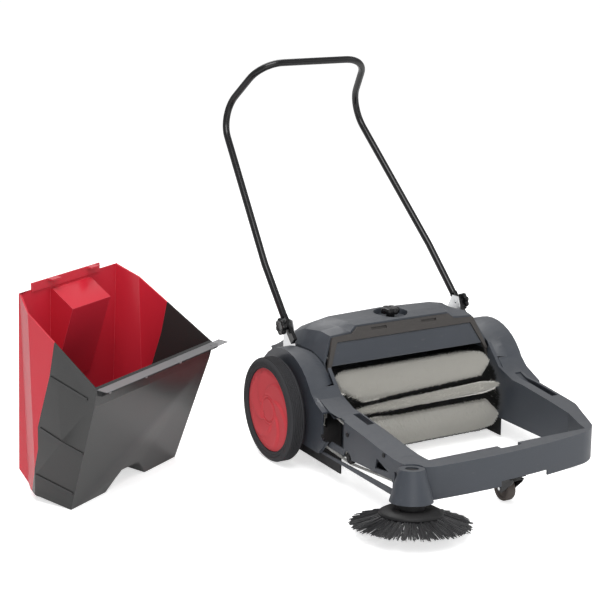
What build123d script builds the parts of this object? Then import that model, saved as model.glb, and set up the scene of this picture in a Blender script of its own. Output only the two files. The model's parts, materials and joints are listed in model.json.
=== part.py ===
from build123d import *
import math
import os

# Walk-behind floor sweeper with its lift-out dirt hopper standing beside it, all sizes in millimetres.
# Machine frame: floor at z = 0, mirror plane x = 0, wheel axle above y = 0, forward is -Y.
# The operator stands at +Y, so the machine's right-hand side is -X.

# ---- Driving sizes: wheels and floor gear ----
WHEEL_R = 140.0
WHEEL_WIDTH = 44.0
DISC_R = 112.0
BOSS_R = 37.0
AXLE_R = 8.0
CASTOR_R = 32.0
CASTOR_WIDTH = 24.0
CASTOR_TRAIL = 36.0
CASTOR_X = -10.0
CASTOR_Y = -575.0

# ---- Driving sizes: brushes ----
BRUSH_R = 119.5
BRUSH_HALF = 240.0
BRUSH_Y = -65.0
BRUSH_FLOOR_GAP = 0.6
CORE_R = 42.0
BLACK_ROW_ANGLES = (104.0, 29.5, 10.5, -76.0, -130.0, 162.0)
BLACK_ROW_SPREAD = 2.4
BRISTLE_ROOT = 4.0
BROOM_R = 155.0
BROOM_TILT = 7.0
BROOM_X = -(BRUSH_HALF + 79.0)
BROOM_Y = -588.0
RING_R = 77.0

# ---- Driving sizes: chassis ----
END_GAP = 12.0
ARM_WIDTH = 56.0
ARM_EXTRA_RIGHT = 14.0
ARM_TOP = ((-96, 262), (-150, 205), (-212, 184), (-258, 182), (-382, 169), (-450, 160), (-512, 154))
ARM_BOTTOM = 60.0
BAR_TOP = 154.0
BAR_BOTTOM = 70.0
BAR_INNER_Y = -558.0
BAR_OUTER_Y = -604.0
BAR_BOW = 4.0
CORNER_R = 70.0
TAPER_Y = -416.0
TAPER_OUT = BRUSH_HALF + 32.0
TAPER_IN = BRUSH_HALF - 4.0
LEFT_CORNER = (BRUSH_HALF + 16.0, -545.0)
LEFT_FRONT = (BRUSH_HALF - 50.0, -583.0)
SEAM_Y = -512.0
WALL = 4.0
POD_WIDTH = 76.0
POD_RISE = 20.0
LEFT_TUCK = 37.0
ARCH_ROOM = 6.0
HOOD_TOP = 357.0
MOUTH_Y = -59.0
MOUTH_Z = 330.0
MOUTH_SLOPE = 18.8
CONE_TOP_R = 31.0
CONE_BOTTOM_R = 53.0
CONE_BOTTOM = 76.0
PLATE_T = 3.0
FLOOR_CLEAR = 8.0

# ---- Driving sizes: drive train ----
GEAR_MODULE = 2.0
GEAR_TEETH = 72
PINION_TEETH = 24
GEAR_WIDTH = 8.0
HUB_PULLEY_R = 58.0
ROUND_BELT_R = 3.5
BROOM_PULLEY_R = 22.0
GUIDE_R = 14.0
GUIDE_Y = -299.0
SHAFT_R = 7.0
BELT_PULLEY_R = 22.0
BELT_T = 3.0
BELT_WIDTH = 12.0

# ---- Driving sizes: handle and knobs ----
TUBE_R = 10.0
BEND_R = 85.0
PIVOT_Y = 92.0
PIVOT_Z = 2 * WHEEL_R + 54.0
LEG_X = BRUSH_HALF + 38.0
KNEE = (LEG_X - 6.0, 235.0, 477.0)
CORNER = (LEG_X - 56.0, 600.0, 848.0)
GRIP = (LEG_X - 106.0, 437.0, 1005.0)
LEG_TIP = 50.0
TONGUE_T = 10.0
TONGUE_W = 24.0
KNOB_R = 25.0
KNOB_T = 22.0
BOLT_R = 4.0
LIFT_KNOB_Y = 14.0
LIFT_KNOB_R = 26.5
LIFT_STEM_R = 11.5
RECESS_R = 47.0
CROSSBAR_Z = 256.0

# ---- Driving sizes: hopper, in its own frame with the front foot edge at the origin ----
HOPPER_PLACE = (-787.0, 31.0)
HOPPER_YAW = 30.3
HOPPER_FOOT_HALF = 219.0
HOPPER_LIP_HALF = 245.0
HOPPER_BACK_HALF = 216.0
LEDGE = (-102.0, 287.0)
LIP = (-113.0, 330.0)
RIM_BACK = (157.0, 521.0)
BACK_FOOT = (186.0, 63.0)
HEEL = (140.0, 22.0)
HOPPER_WALL = 4.0
ARCH_HALF = 84.0
ARCH_RISE = 48.0
ARCH_DEPTH = 75.0
ROLLER_R = 13.0
ROLLER_Y = 128.0
SEAM = ((20, 416), (41, 338), (88, 201), (91, 143), (108, 79), (128, 30))

# ---- Clearances ----
RUN_FIT = 0.05
FACE_GAP = 0.4
BELT_GAP = 0.3

# ---- Small fixed sizes ----
POD_LOW = 66.0
POD_SHOULDER = 16.0
SLOT_WIDTH = 20.0
HUB_R = 30.0
BRACKET_T = 3.0
CASTOR_TOP = 84.0
KINGPIN_R = 6.0
SPINDLE_R = 8.0
CAP_R = 16.5
BROOM_HEADING = -125.0
GUIDE_LOW = 71.0
BROOM_PULLEY_DROP = 58.0
BROOM_TIP_GAP = 0.5
HOOD_LOW = 240.0
HOOD_REAR = 225.0
TRIM_DEPTH = 9.0
KNOB_SEAT_Z = 341.0
SCREW_R = 4.0
CROSSBAR_R = 9.0
BEARING_R = 13.0
CARRIER_ROOM = 9.0
SWING_ROOM = 9.0
CLIP_R = 12.0
GUIDE_X = -(BRUSH_HALF + 70.0)
POST_Y = -496.0
POST_R = 5.0

# ---- Derived places ----
AXLE_Z = WHEEL_R
ARM_IN = BRUSH_HALF + END_GAP
ARM_OUT = ARM_IN + ARM_WIDTH
ARM_OUT_RIGHT = ARM_OUT + ARM_EXTRA_RIGHT
PLATE_IN = ARM_IN + WALL
PLATE_OUT = PLATE_IN + PLATE_T
HOOD_HALF = PLATE_OUT
POD_IN = HOOD_HALF + 3.0
POD_OUT = POD_IN + POD_WIDTH
POD_R = WHEEL_R + POD_RISE
WHEEL_IN = POD_OUT + 12.0
WHEEL_OUT = WHEEL_IN + WHEEL_WIDTH
BRUSH_Z = BRUSH_R + BRUSH_FLOOR_GAP
GEAR_R = GEAR_MODULE * GEAR_TEETH / 2
PINION_R = GEAR_MODULE * PINION_TEETH / 2
JACK_Y = GEAR_R + PINION_R
JACK_Z = AXLE_Z
GEAR_X = WHEEL_IN - 10.5
HUB_PULLEY_X = -BROOM_X - BROOM_PULLEY_R + 2.0
BELT_X = PLATE_OUT + 15.0
ARM_PLATE_X = PLATE_OUT + 2.0
AXLE_END = WHEEL_OUT - 12.0
BRACKET_IN = LEG_X - TONGUE_T / 2 - FACE_GAP - BRACKET_T
BROOM_PULLEY_Z = BAR_TOP - BROOM_PULLEY_DROP

nodes = {}


# ---- Small helpers ----
def block(x, y, z):
    """Box between the given (low, high) limits along each axis."""
    centre = Pos((x[0] + x[1]) / 2, (y[0] + y[1]) / 2, (z[0] + z[1]) / 2)
    return centre * Box(x[1] - x[0], y[1] - y[0], z[1] - z[0])


def rod_x(radius, x0, x1, y, z):
    """Cylinder along X."""
    return Pos((x0 + x1) / 2, y, z) * Rot(0, 90, 0) * Cylinder(radius, abs(x1 - x0))


def rod_z(radius, x, y, z0, z1):
    """Cylinder along Z."""
    return Pos(x, y, (z0 + z1) / 2) * Cylinder(radius, z1 - z0)


def side_face(points):
    """Closed polygon of (y, z) points in the plane x = 0."""
    return Plane.YZ * make_face(Polyline(*points, close=True))


def side_prism(points, x0, x1):
    """(y, z) polygon carried along X."""
    return extrude(Pos(x0, 0, 0) * side_face(points), amount=x1 - x0, dir=(1, 0, 0))


def front_prism(points, y0, y1):
    """(x, z) polygon carried along Y."""
    face = Plane.XZ * make_face(Polyline(*points, close=True))
    return extrude(Pos(0, y0, 0) * face, amount=y1 - y0, dir=(0, 1, 0))


def plan_prism(points, z0, z1):
    """(x, y) polygon carried along Z."""
    face = make_face(Polyline(*points, close=True))
    return extrude(Pos(0, 0, z0) * face, amount=z1 - z0)


def mirror_x(shape):
    return mirror(shape, about=Plane.YZ)


def both_sides(shape):
    return shape + mirror_x(shape)


def inset(points, distance):
    """Polygon pushed inward by a wall thickness, with mitred corners."""
    count = len(points)
    area = sum(p[0] * q[1] - q[0] * p[1] for p, q in zip(points, points[1:] + points[:1]))
    side = 1.0 if area > 0 else -1.0
    result = []
    for i in range(count):
        before, here, after = points[i - 1], points[i], points[(i + 1) % count]
        u = Vector(here[0] - before[0], here[1] - before[1]).normalized()
        v = Vector(after[0] - here[0], after[1] - here[1]).normalized()
        u_in = Vector(-u.Y, u.X) * side
        v_in = Vector(-v.Y, v.X) * side
        push = (u_in + v_in) * (distance / (1 + u_in.dot(v_in)))
        result.append((here[0] + push.X, here[1] + push.Y))
    return result


def polar(centre, radius, degrees):
    """Point (y, z) around a centre, with the angle measured up from straight ahead (-Y)."""
    a = math.radians(degrees)
    return (centre[0] - radius * math.cos(a), centre[1] + radius * math.sin(a))


def rounded_path(points, radius):
    """Wire through 3-D points with each inner corner rounded."""
    pts = [Vector(*p) for p in points]
    pieces = []
    start = pts[0]
    for before, here, after in zip(pts, pts[1:], pts[2:]):
        u = (before - here).normalized()
        v = (after - here).normalized()
        half = math.acos(max(-1.0, min(1.0, u.dot(v)))) / 2
        reach = radius / math.tan(half)
        centre = here + (u + v).normalized() * (radius / math.sin(half))
        first = here + u * reach
        last = here + v * reach
        middle = centre + (here - centre).normalized() * radius
        pieces.append(Line(start, first))
        pieces.append(ThreePointArc(first, middle, last))
        start = last
    pieces.append(Line(start, pts[-1]))
    return Wire(pieces)


def tube_along(path, radius):
    """Round bar along a wire."""
    plane = Plane(origin=path @ 0, z_dir=path % 0)
    return sweep(plane * Circle(radius), path=path)


def star_knob(radius, thickness, lobes):
    """Lobed clamp knob standing on z = 0."""
    body = Cylinder(radius * 0.80, thickness, align=(Align.CENTER, Align.CENTER, Align.MIN))
    for i in range(lobes):
        a = 2 * math.pi * i / lobes
        reach = radius * 0.72
        lobe = Cylinder(radius * 0.28, thickness, align=(Align.CENTER, Align.CENTER, Align.MIN))
        body += Pos(reach * math.cos(a), reach * math.sin(a), 0) * lobe
    return body


def gear_blank(teeth, width, spread):
    """Spur gear standing on z = 0, straight-flanked teeth, first tooth turned by spread of a pitch."""
    pitch_r = GEAR_MODULE * teeth / 2
    tip = pitch_r + 0.8 * GEAR_MODULE
    root = pitch_r - 1.1 * GEAR_MODULE
    step = 2 * math.pi / teeth
    outline = []
    for i in range(teeth):
        for radius, share in ((root, -0.30), (tip, -0.13), (tip, 0.13), (root, 0.30)):
            a = step * (i + share + spread)
            outline.append((radius * math.cos(a), radius * math.sin(a)))
    return extrude(make_face(Polyline(*outline, close=True)), amount=width)


def along_x(shape, x, y, z, outward):
    """Stand a z-up piece on its base so that it points along +X (outward 1) or -X (outward -1)."""
    return Pos(x, y, z) * Rot(0, 90 * outward, 0) * shape


# ---- Mouth plane: the leaning face at the front of the hood ----
_slope = math.radians(MOUTH_SLOPE)
MOUTH = Plane(
    origin=(0, MOUTH_Y, MOUTH_Z),
    x_dir=(1, 0, 0),
    z_dir=(0, -math.cos(_slope), math.sin(_slope)),
)


def mouth_slab(points, depth_from, depth_to):
    """Polygon in the mouth plane, carried backwards between two depths."""
    face = MOUTH.offset(-depth_to) * make_face(Polyline(*points, close=True))
    return extrude(face, amount=depth_to - depth_from, dir=MOUTH.z_dir)


# ---- Chassis ----
def pod_outline():
    """Side view of a pod: an arc over the axle that flows forward into a foot corner."""
    centre = (0.0, AXLE_Z)
    arc = [polar(centre, POD_R, a) for a in range(144, 35, -9)]
    neck = polar(centre, POD_R, 30)
    foot = (-(POD_R + 63.0), AXLE_Z + 32.0)
    rear = arc[0]
    flare = [neck, (neck[0] - 25.0, neck[1] - 22.0), foot, (foot[0], AXLE_Z - 30.0)]
    return arc + flare + [(-180.0, POD_LOW), (rear[0], POD_LOW)]


def shoulder_ring(drop, reach):
    """Solid outside the sloping inner shoulder of a pod roof."""
    outline = [
        (POD_IN - 2, POD_R - POD_SHOULDER - drop),
        (POD_IN + 34, POD_R - drop),
        (POD_IN + 34, reach),
        (POD_IN - 2, reach),
    ]
    ring = revolve(make_face(Polyline(*outline, close=True)), axis=Axis.X)
    return Pos(0, 0, AXLE_Z) * ring & block((POD_IN - 3, POD_OUT), (-135, 200), (AXLE_Z + 85, 600))


def side_pod():
    """Moulded pod beside the brush: a roof band over the axle and an outer wall inboard of the wheel."""
    outline = pod_outline()
    solid = side_prism(outline, POD_IN, POD_OUT) - shoulder_ring(0, POD_R + 60)
    room = side_prism(inset(outline, WALL), POD_IN - 1, POD_OUT - WALL) - shoulder_ring(WALL, POD_R + 60)
    solid -= room
    solid -= block((POD_IN - 1, POD_OUT - WALL), (-172, outline[0][0] - WALL), (POD_LOW - 1, POD_LOW + WALL + 1))
    solid -= rod_x(HUB_R + 3.0, POD_OUT - WALL - 1, POD_OUT + 1, 0, AXLE_Z)
    solid -= rod_x(SHAFT_R + RUN_FIT, POD_OUT - WALL - 1, POD_OUT + 1, JACK_Y, JACK_Z)
    foot_y = -(POD_R + 63.0)
    solid -= block((POD_IN - 1, POD_OUT - WALL - 6), (foot_y - 1, -150), (POD_LOW - 1, AXLE_Z + 28))
    solid -= block((BRACKET_IN - 0.1, BRACKET_IN + BRACKET_T + 0.1), (0, 200), (120, 400))
    return solid


def arm_box(outer):
    """Hollow side arm, open underneath, from beside the brush to the seam with the front bar."""
    top = [(y, z) for y, z in ARM_TOP]
    outline = [(ARM_TOP[0][0], ARM_BOTTOM)] + top + [(SEAM_Y, ARM_BOTTOM)]
    solid = side_prism(outline, ARM_IN, outer)
    solid -= side_prism(inset(outline, WALL), ARM_IN + WALL, outer - WALL)
    inside = (PLATE_IN, outer - WALL)
    solid -= block(inside, (SEAM_Y + WALL, ARM_TOP[0][0] - WALL), (ARM_BOTTOM - 1, ARM_BOTTOM + WALL + 1))
    solid -= block(inside, (-104, -90), (0, 240))
    return solid


def arm_slot(centre_x, y0, y1):
    """Slot through the top of an arm."""
    return block((centre_x - SLOT_WIDTH / 2, centre_x + SLOT_WIDTH / 2), (y0, y1), (140, 300))


def frame_side(outer, slot):
    """One side moulding, built on the +X side: arm and pod in one piece."""
    pod = side_pod()
    arm = arm_box(outer) - arm_slot(*slot)
    arm -= side_prism(pod_outline(), POD_IN, POD_OUT)
    return arm + pod


def belt_passage():
    """Opening at the seam between arm and front bar that lets the round belt through."""
    seam = block((ARM_IN + 20, ARM_OUT_RIGHT - WALL - 1), (SEAM_Y - WALL - 1, SEAM_Y + WALL + 1), (78, 136))
    side = block((ARM_OUT_RIGHT - WALL - 1, ARM_OUT_RIGHT + 1), (-558, SEAM_Y - 6), (94, 124))
    return seam + side


def belt_line(y):
    """Height of the round belt's lower run at a place along the machine."""
    if y >= GUIDE_Y:
        return AXLE_Z - HUB_PULLEY_R - (AXLE_Z - HUB_PULLEY_R - GUIDE_LOW) * y / GUIDE_Y
    return GUIDE_LOW + (BROOM_PULLEY_Z - GUIDE_LOW) * (y - GUIDE_Y) / (BROOM_Y - GUIDE_Y)


def wheel_arch(pod_side):
    """Sinks the left wheel into its pod: a lined recess with a wall behind the wheel."""
    radius = WHEEL_R + ARCH_ROOM
    wall_out = POD_OUT - LEFT_TUCK
    lining = rod_x(radius + 3.0, wall_out - WALL, POD_OUT, 0, AXLE_Z)
    lined = pod_side + (lining & side_prism(pod_outline(), POD_IN, POD_OUT))
    lined -= rod_x(radius, wall_out, POD_OUT + 1, 0, AXLE_Z)
    return lined - rod_x(HUB_R + 3.0, wall_out - WALL - 1, wall_out + 1, 0, AXLE_Z)


def tapered_arm(arm_side):
    """Draws the front end of the left arm in towards the corner of the front bar."""
    outline = [(ARM_TOP[0][0], ARM_BOTTOM)] + list(ARM_TOP) + [(SEAM_Y, ARM_BOTTOM)]
    form = side_prism(outline, ARM_IN - 20, ARM_OUT)
    line = [(ARM_OUT, TAPER_Y), (TAPER_OUT, SEAM_Y)]
    waste = plan_prism(line + [(TAPER_OUT, SEAM_Y - 5), (ARM_OUT + 5, SEAM_Y - 5), (ARM_OUT + 5, TAPER_Y)], 0, 400)
    skin = plan_prism(line + [(TAPER_OUT - WALL, SEAM_Y), (ARM_OUT - WALL, TAPER_Y)], 0, 400)
    wedge = plan_prism([(ARM_IN, TAPER_Y - 39), (TAPER_IN, SEAM_Y), (ARM_IN, SEAM_Y)], 0, 400)
    return arm_side - waste + (skin & form) + (wedge & form)


def make_frame_sides():
    left = tapered_arm(wheel_arch(frame_side(ARM_OUT, (ARM_OUT - 18, -350, -185))))
    right = frame_side(ARM_OUT_RIGHT, (ARM_IN + 15, -322, -250))
    out = ARM_OUT_RIGHT
    window = block((out - WALL - 1, POD_OUT + 1), (-280, -200), (106, 182))
    front = SEAM_Y + 2.0
    lip = ARM_BOTTOM + WALL
    below_belt = [(-110, lip), (-110, 88), (GUIDE_Y - 20, 88), (front, belt_line(front) + 10), (front, lip + 12)]
    right -= window
    right -= side_prism(below_belt, out - WALL - 1, out + 1)
    right -= belt_passage()
    right -= rod_x(GUIDE_R + 4, out - WALL - 1, out + 1, GUIDE_Y, GUIDE_LOW + GUIDE_R + 2)
    right -= side_prism([(-438, 131), (-430, 104), (-490, 114)], out - WALL - 1, out + 1)
    guard_x = ARM_IN + 22.0
    guard = side_prism([(-311, 76), (-311, 64), (-504, 62), (-504, 80)], guard_x, guard_x + 3)
    ledge = side_prism([(-311, 66), (-311, 64), (-504, 62), (-504, 64)], ARM_IN + 2, guard_x + 1)
    right += guard + ledge
    nodes["frame_side_left"] = left
    nodes["frame_side_right"] = mirror_x(right) - housing_envelope(0.0)


def bar_plan(grow):
    """Plan view of the front bar: two short returns and a bowed front, as one closed face."""
    wide = ARM_OUT_RIGHT - grow
    inner = ARM_IN + grow
    front = BAR_OUTER_Y + grow
    bow = front - BAR_BOW
    inner_y = BAR_INNER_Y - grow
    radius = CORNER_R - grow
    cut = radius * (1 - math.sqrt(0.5))
    corner = (LEFT_CORNER[0] - grow, LEFT_CORNER[1] + grow / 4)
    face = (LEFT_FRONT[0] - grow / 4, LEFT_FRONT[1] + grow)
    turn = (239.0 - 0.8 * grow, -562.0 + 0.8 * grow)
    seam_out = TAPER_OUT - grow
    seam_in = TAPER_IN + grow
    inner_corner = (222.0 + 0.7 * grow, inner_y)
    edges = [
        Line((seam_out, SEAM_Y), corner),
        ThreePointArc(corner, turn, face),
        ThreePointArc(face, (-30, bow), (radius - wide, front)),
        ThreePointArc((radius - wide, front), (cut - wide, front + cut), (-wide, front + radius)),
        Line((-wide, front + radius), (-wide, SEAM_Y)),
        Line((-wide, SEAM_Y), (-inner, SEAM_Y)),
        Line((-inner, SEAM_Y), (-inner, inner_y)),
        Line((-inner, inner_y), inner_corner),
        Line(inner_corner, (seam_in, SEAM_Y)),
        Line((seam_in, SEAM_Y), (seam_out, SEAM_Y)),
    ]
    return make_face(edges)


def make_front_bar():
    solid = extrude(Pos(0, 0, BAR_BOTTOM) * bar_plan(0.0), amount=BAR_TOP - BAR_BOTTOM)
    room = extrude(Pos(0, 0, BAR_BOTTOM - 1) * bar_plan(WALL), amount=BAR_TOP - BAR_BOTTOM - WALL + 1)
    room -= block((-400, 400), (SEAM_Y - WALL, SEAM_Y + 1), (0, 400))
    solid -= room
    solid -= block((-73, 73), (-700, BAR_INNER_Y + 20), (BAR_BOTTOM - 1, CASTOR_TOP))
    notch = block((-51, 11), (BAR_INNER_Y - 17, BAR_INNER_Y + 5), (BAR_TOP - 20, BAR_TOP + 1))
    notch_floor = block((-51, 11), (BAR_INNER_Y - 17, BAR_INNER_Y), (BAR_TOP - 23, BAR_TOP - 20))
    notch_back = block((-51, 11), (BAR_INNER_Y - 20, BAR_INNER_Y - 17), (BAR_TOP - 23, BAR_TOP))
    solid = solid - notch + notch_floor + notch_back
    seat = block((CASTOR_X - 28, CASTOR_X + 28), (BAR_OUTER_Y + 1, BAR_INNER_Y - 1), (CASTOR_TOP, CASTOR_TOP + 5))
    solid += seat
    solid -= rod_z(KINGPIN_R, CASTOR_X, CASTOR_Y, CASTOR_TOP - 1, CASTOR_TOP + 6)
    nodes["front_bar"] = solid - housing_envelope(0.0) - mirror_x(belt_passage())


# ---- Side broom frame: z down the leaning axis is replaced by a plane at the cone's top ----
def broom_plane(drop):
    """Plane square to the broom's axis, a given distance below the top of the cone housing."""
    lean = math.radians(BROOM_TILT)
    heading = math.radians(BROOM_HEADING)
    down = Vector(
        math.sin(lean) * math.cos(heading),
        math.sin(lean) * math.sin(heading),
        -math.cos(lean),
    )
    origin = Vector(BROOM_X, BROOM_Y, BAR_TOP) + down * drop
    return Plane(origin=origin, x_dir=(1, 0, -down.X / down.Z), z_dir=down * -1)


def broom_solid(outline):
    """Turned piece on the broom's axis from (radius, drop below the cone top) points."""
    face = make_face(Polyline(*[(r, -d) for r, d in outline], close=True))
    turned = revolve(Plane.XZ * face, axis=Axis.Z)
    return broom_plane(0.0).location * turned


def broom_disc(radius, drop0, drop1):
    return broom_solid([(0, drop0), (radius, drop0), (radius, drop1), (0, drop1)])


def housing_envelope(grow):
    """Filled cone of the broom housing, for cutting what meets it."""
    depth = BAR_TOP - CONE_BOTTOM
    outline = [
        (0, -6 - grow),
        (CONE_TOP_R + grow, -6 - grow),
        (CONE_TOP_R + grow, 0),
        (CONE_BOTTOM_R + grow, depth),
        (CONE_BOTTOM_R + grow, depth + 60),
        (0, depth + 60),
    ]
    return broom_solid(outline)


def make_broom_housing():
    depth = BAR_TOP - CONE_BOTTOM
    shell = broom_solid([(0, 0), (CONE_TOP_R, 0), (CONE_BOTTOM_R, depth), (0, depth)])
    inner_top = CONE_TOP_R + (CONE_BOTTOM_R - CONE_TOP_R) * 22.0 / depth - WALL
    shell -= broom_solid([(0, 22), (inner_top, 22), (CONE_BOTTOM_R - WALL, depth + 1), (0, depth + 1)])
    shell -= broom_disc(CAP_R, -1, 7)
    shell += broom_solid([(SPINDLE_R + 2, 21), (14, 21), (14, 32), (SPINDLE_R + 2, 32)])
    shell -= broom_disc(SPINDLE_R + RUN_FIT, 5, 40)
    mouth = Vector(BROOM_X, BROOM_Y, 0)
    shell -= block((mouth.X - 34, mouth.X + 34), (BROOM_Y, BROOM_Y + 80), (BROOM_PULLEY_Z - 12, BROOM_PULLEY_Z + 20))
    nodes["broom_housing"] = shell
    nodes["housing_cap"] = broom_solid([(0, 3), (CAP_R - 0.2, 3), (CAP_R - 0.2, 4.6), (0, 4.6)])


# ---- Hood, mouth trim and the closing panels ----
def hood_section(y, points, shrink):
    """One cross-section of the hood, mirrored and closed at its lower edge."""
    half = [(max(x - shrink, 0.0), z - shrink) for x, z in points]
    half[-1] = (half[-1][0], HOOD_LOW - 5 * shrink)
    outline = half + [(-x, z) for x, z in reversed(half) if x > 0]
    return Plane(origin=(0, y, 0), x_dir=(1, 0, 0), z_dir=(0, -1, 0)) * make_face(Polyline(*outline, close=True))


def hood_body(shrink):
    """Faceted hood through its cross-sections, half outlines from the middle outward."""
    side = HOOD_HALF
    top = HOOD_TOP
    sections = (
        (-100, ((0, top - 15), (132, top - 15), (150, top - 30), (222, top - 30), (side, 262), (side, HOOD_LOW))),
        (-5, ((0, top), (158, top - 1), (178, top - 14), (232, top - 20), (side, 288), (side, HOOD_LOW))),
        (70, ((0, top), (165, top - 5), (208, top - 13), (238, top - 30), (side, 286), (side, HOOD_LOW))),
        (150, ((0, top - 34), (165, top - 38), (204, top - 46), (234, top - 62), (side, 270), (side, HOOD_LOW))),
        (HOOD_REAR - shrink, ((0, 258), (165, 256), (202, 252), (230, 247), (side, 243), (side, HOOD_LOW))),
    )
    return loft([hood_section(y, points, shrink) for y, points in sections], ruled=True)


def make_hood():
    shell = hood_body(0.0) - hood_body(WALL)
    ahead = mouth_slab([(-400, -300), (400, -300), (400, 300), (-400, 300)], -200, TRIM_DEPTH)
    shell -= ahead
    dish = rod_z(RECESS_R + WALL, 0, LIFT_KNOB_Y, KNOB_SEAT_Z - WALL, HOOD_TOP - 4.5)
    shell += dish
    shell -= rod_z(RECESS_R, 0, LIFT_KNOB_Y, KNOB_SEAT_Z, HOOD_TOP + 20)
    shell -= rod_z(SCREW_R + RUN_FIT, 0, LIFT_KNOB_Y, KNOB_SEAT_Z - 20, HOOD_TOP)
    low = LIFT_KNOB_Y - CROSSBAR_R - SWING_ROOM
    high = LIFT_KNOB_Y + CROSSBAR_R + SWING_ROOM
    shell -= block((-HOOD_HALF - 1, HOOD_HALF + 1), (low, high), (HOOD_LOW - 1, CROSSBAR_Z + CROSSBAR_R + 8))
    nodes["hood"] = shell


def mouth_outline(margin):
    """Outline of the mouth trim in the mouth plane, from the left foot round to the right foot."""
    half = [
        (258.5 - margin, -92.0),
        (226.0 - 0.85 * margin, 1.0 - margin),
        (164.0 - 0.6 * margin, 4.0 - margin),
        (145.0 - 0.6 * margin, 19.5 - margin),
    ]
    return half + [(-x, v) for x, v in reversed(half)]


def make_mouth():
    outer = mouth_slab(mouth_outline(0.0), 0.0, TRIM_DEPTH)
    window = [(250.5, -93.0), (214.0, -14.0), (-214.0, -14.0), (-250.5, -93.0)]
    trim = outer - mouth_slab(window, -1.0, TRIM_DEPTH + 1)
    for x in (79.5, -79.5):
        pocket = Pos(x, 9.0, 0) * Box(49, 7, 8)
        trim -= MOUTH.location * pocket
    legs = side_prism([(-88.5, 246), (-80, 246), (-108, 160), (-118, 160)], ARM_IN - 2.5, ARM_IN)
    trim += both_sides(legs)
    nodes["hood_trim"] = trim
    panel = [(250.0, -92.0), (213.7, -14.3), (-213.7, -14.3), (-250.0, -92.0)]
    gap = [(252.0, -74.0), (252.0, -140.0), (-252.0, -140.0), (-252.0, -74.0)]
    nodes["front_panel"] = mouth_slab(panel, 3.0, 7.0) - mouth_slab(gap, -1.0, 30)


def make_side_plates():
    outline = [
        (-161, FLOOR_CLEAR),
        (-161, 176),
        (-100, 232),
        (-78, HOOD_LOW),
        (HOOD_REAR - WALL, HOOD_LOW),
        (HOOD_REAR - 14, 70),
        (96, 44),
        (84, FLOOR_CLEAR),
    ]
    plate = side_prism(outline, PLATE_IN, PLATE_OUT)
    swing = SWING_ROOM
    plate -= block((PLATE_IN - 1, PLATE_OUT + 1), (BRUSH_Y - 24, BRUSH_Y + 24), (BRUSH_Z - 24, BRUSH_Z + 34))
    plate -= rod_x(SHAFT_R + RUN_FIT, PLATE_IN - 1, PLATE_OUT + 1, JACK_Y, JACK_Z)
    rail = block(
        (PLATE_IN - 1, PLATE_OUT + 1),
        (LIFT_KNOB_Y - CROSSBAR_R - swing, LIFT_KNOB_Y + CROSSBAR_R + swing),
        (HOOD_LOW - 22, HOOD_LOW + 10),
    )
    plate -= rail
    nodes["side_plate_left"] = plate
    nodes["side_plate_right"] = mirror_x(plate)


def make_rear_panel():
    half = ARM_IN + WALL
    outline = [
        (HOOD_REAR - WALL, HOOD_LOW),
        (HOOD_REAR - 18, 74),
        (92, 46),
        (88, 50),
        (HOOD_REAR - 24, 80),
        (HOOD_REAR - WALL - 6, HOOD_LOW),
    ]
    nodes["rear_panel"] = side_prism(outline, -half, half)
    seal = block((-half + 2, half - 2), (84, 88), (2.5, 66))
    nodes["rear_seal"] = seal - nodes["rear_panel"]
    skirt = block((ARM_OUT - WALL, ARM_OUT), (-264, -47), (34, ARM_BOTTOM))
    nodes["side_skirts"] = skirt + Pos(-ARM_EXTRA_RIGHT, 0, 0) * mirror_x(skirt)


# ---- Running gear ----
def make_wheel(side, outward):
    """Tyre and disc of one wheel, with the disc's hub running on the stub axle."""
    tuck = Pos(-LEFT_TUCK if outward > 0 else 0.0, 0, 0)
    x_in = outward * WHEEL_IN
    x_out = outward * WHEEL_OUT
    tyre = rod_x(WHEEL_R, x_in, x_out, 0, AXLE_Z)
    tyre = chamfer(tyre.edges().filter_by(GeomType.CIRCLE), 3.0)
    tyre -= rod_x(DISC_R, outward * (WHEEL_IN - 1), outward * (WHEEL_OUT + 1), 0, AXLE_Z)
    disc = rod_x(DISC_R, outward * (WHEEL_IN + 4), outward * (WHEEL_OUT - 5), 0, AXLE_Z)
    disc -= rod_x(DISC_R - 6, outward * (WHEEL_IN + 3), outward * (WHEEL_OUT - 10), 0, AXLE_Z)
    disc += rod_x(BOSS_R, outward * (WHEEL_OUT - 6), outward * (WHEEL_OUT - 2), 0, AXLE_Z)
    disc += rod_x(HUB_R, x_in, outward * (WHEEL_OUT - 9), 0, AXLE_Z)
    disc -= rod_x(AXLE_R + RUN_FIT, outward * (WHEEL_IN - 1), outward * (AXLE_END + 1), 0, AXLE_Z)
    disc -= rod_x(CLIP_R + 3, outward * (AXLE_END - 5), outward * (AXLE_END + 1), 0, AXLE_Z)
    nodes["tyre_" + side] = tuck * tyre
    nodes["wheel_disc_" + side] = tuck * disc


def make_axles():
    flange = rod_x(AXLE_R + 8, PLATE_OUT, PLATE_OUT + 5, 0, AXLE_Z)
    right = rod_x(AXLE_R, PLATE_OUT, AXLE_END, 0, AXLE_Z) + flange
    left = rod_x(AXLE_R, PLATE_OUT, AXLE_END - LEFT_TUCK, 0, AXLE_Z) + flange
    clip = rod_x(CLIP_R, AXLE_END - 3.5, AXLE_END - 1.5, 0, AXLE_Z)
    clip -= rod_x(AXLE_R, AXLE_END - 4, AXLE_END, 0, AXLE_Z)
    pin = rod_x(SHAFT_R, PLATE_IN, ARM_PLATE_X + PLATE_T + 3, JACK_Y, JACK_Z)
    nodes["stub_axles"] = left + mirror_x(right) + pin
    nodes["axle_clips"] = Pos(-LEFT_TUCK, 0, 0) * clip + mirror_x(clip)


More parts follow.
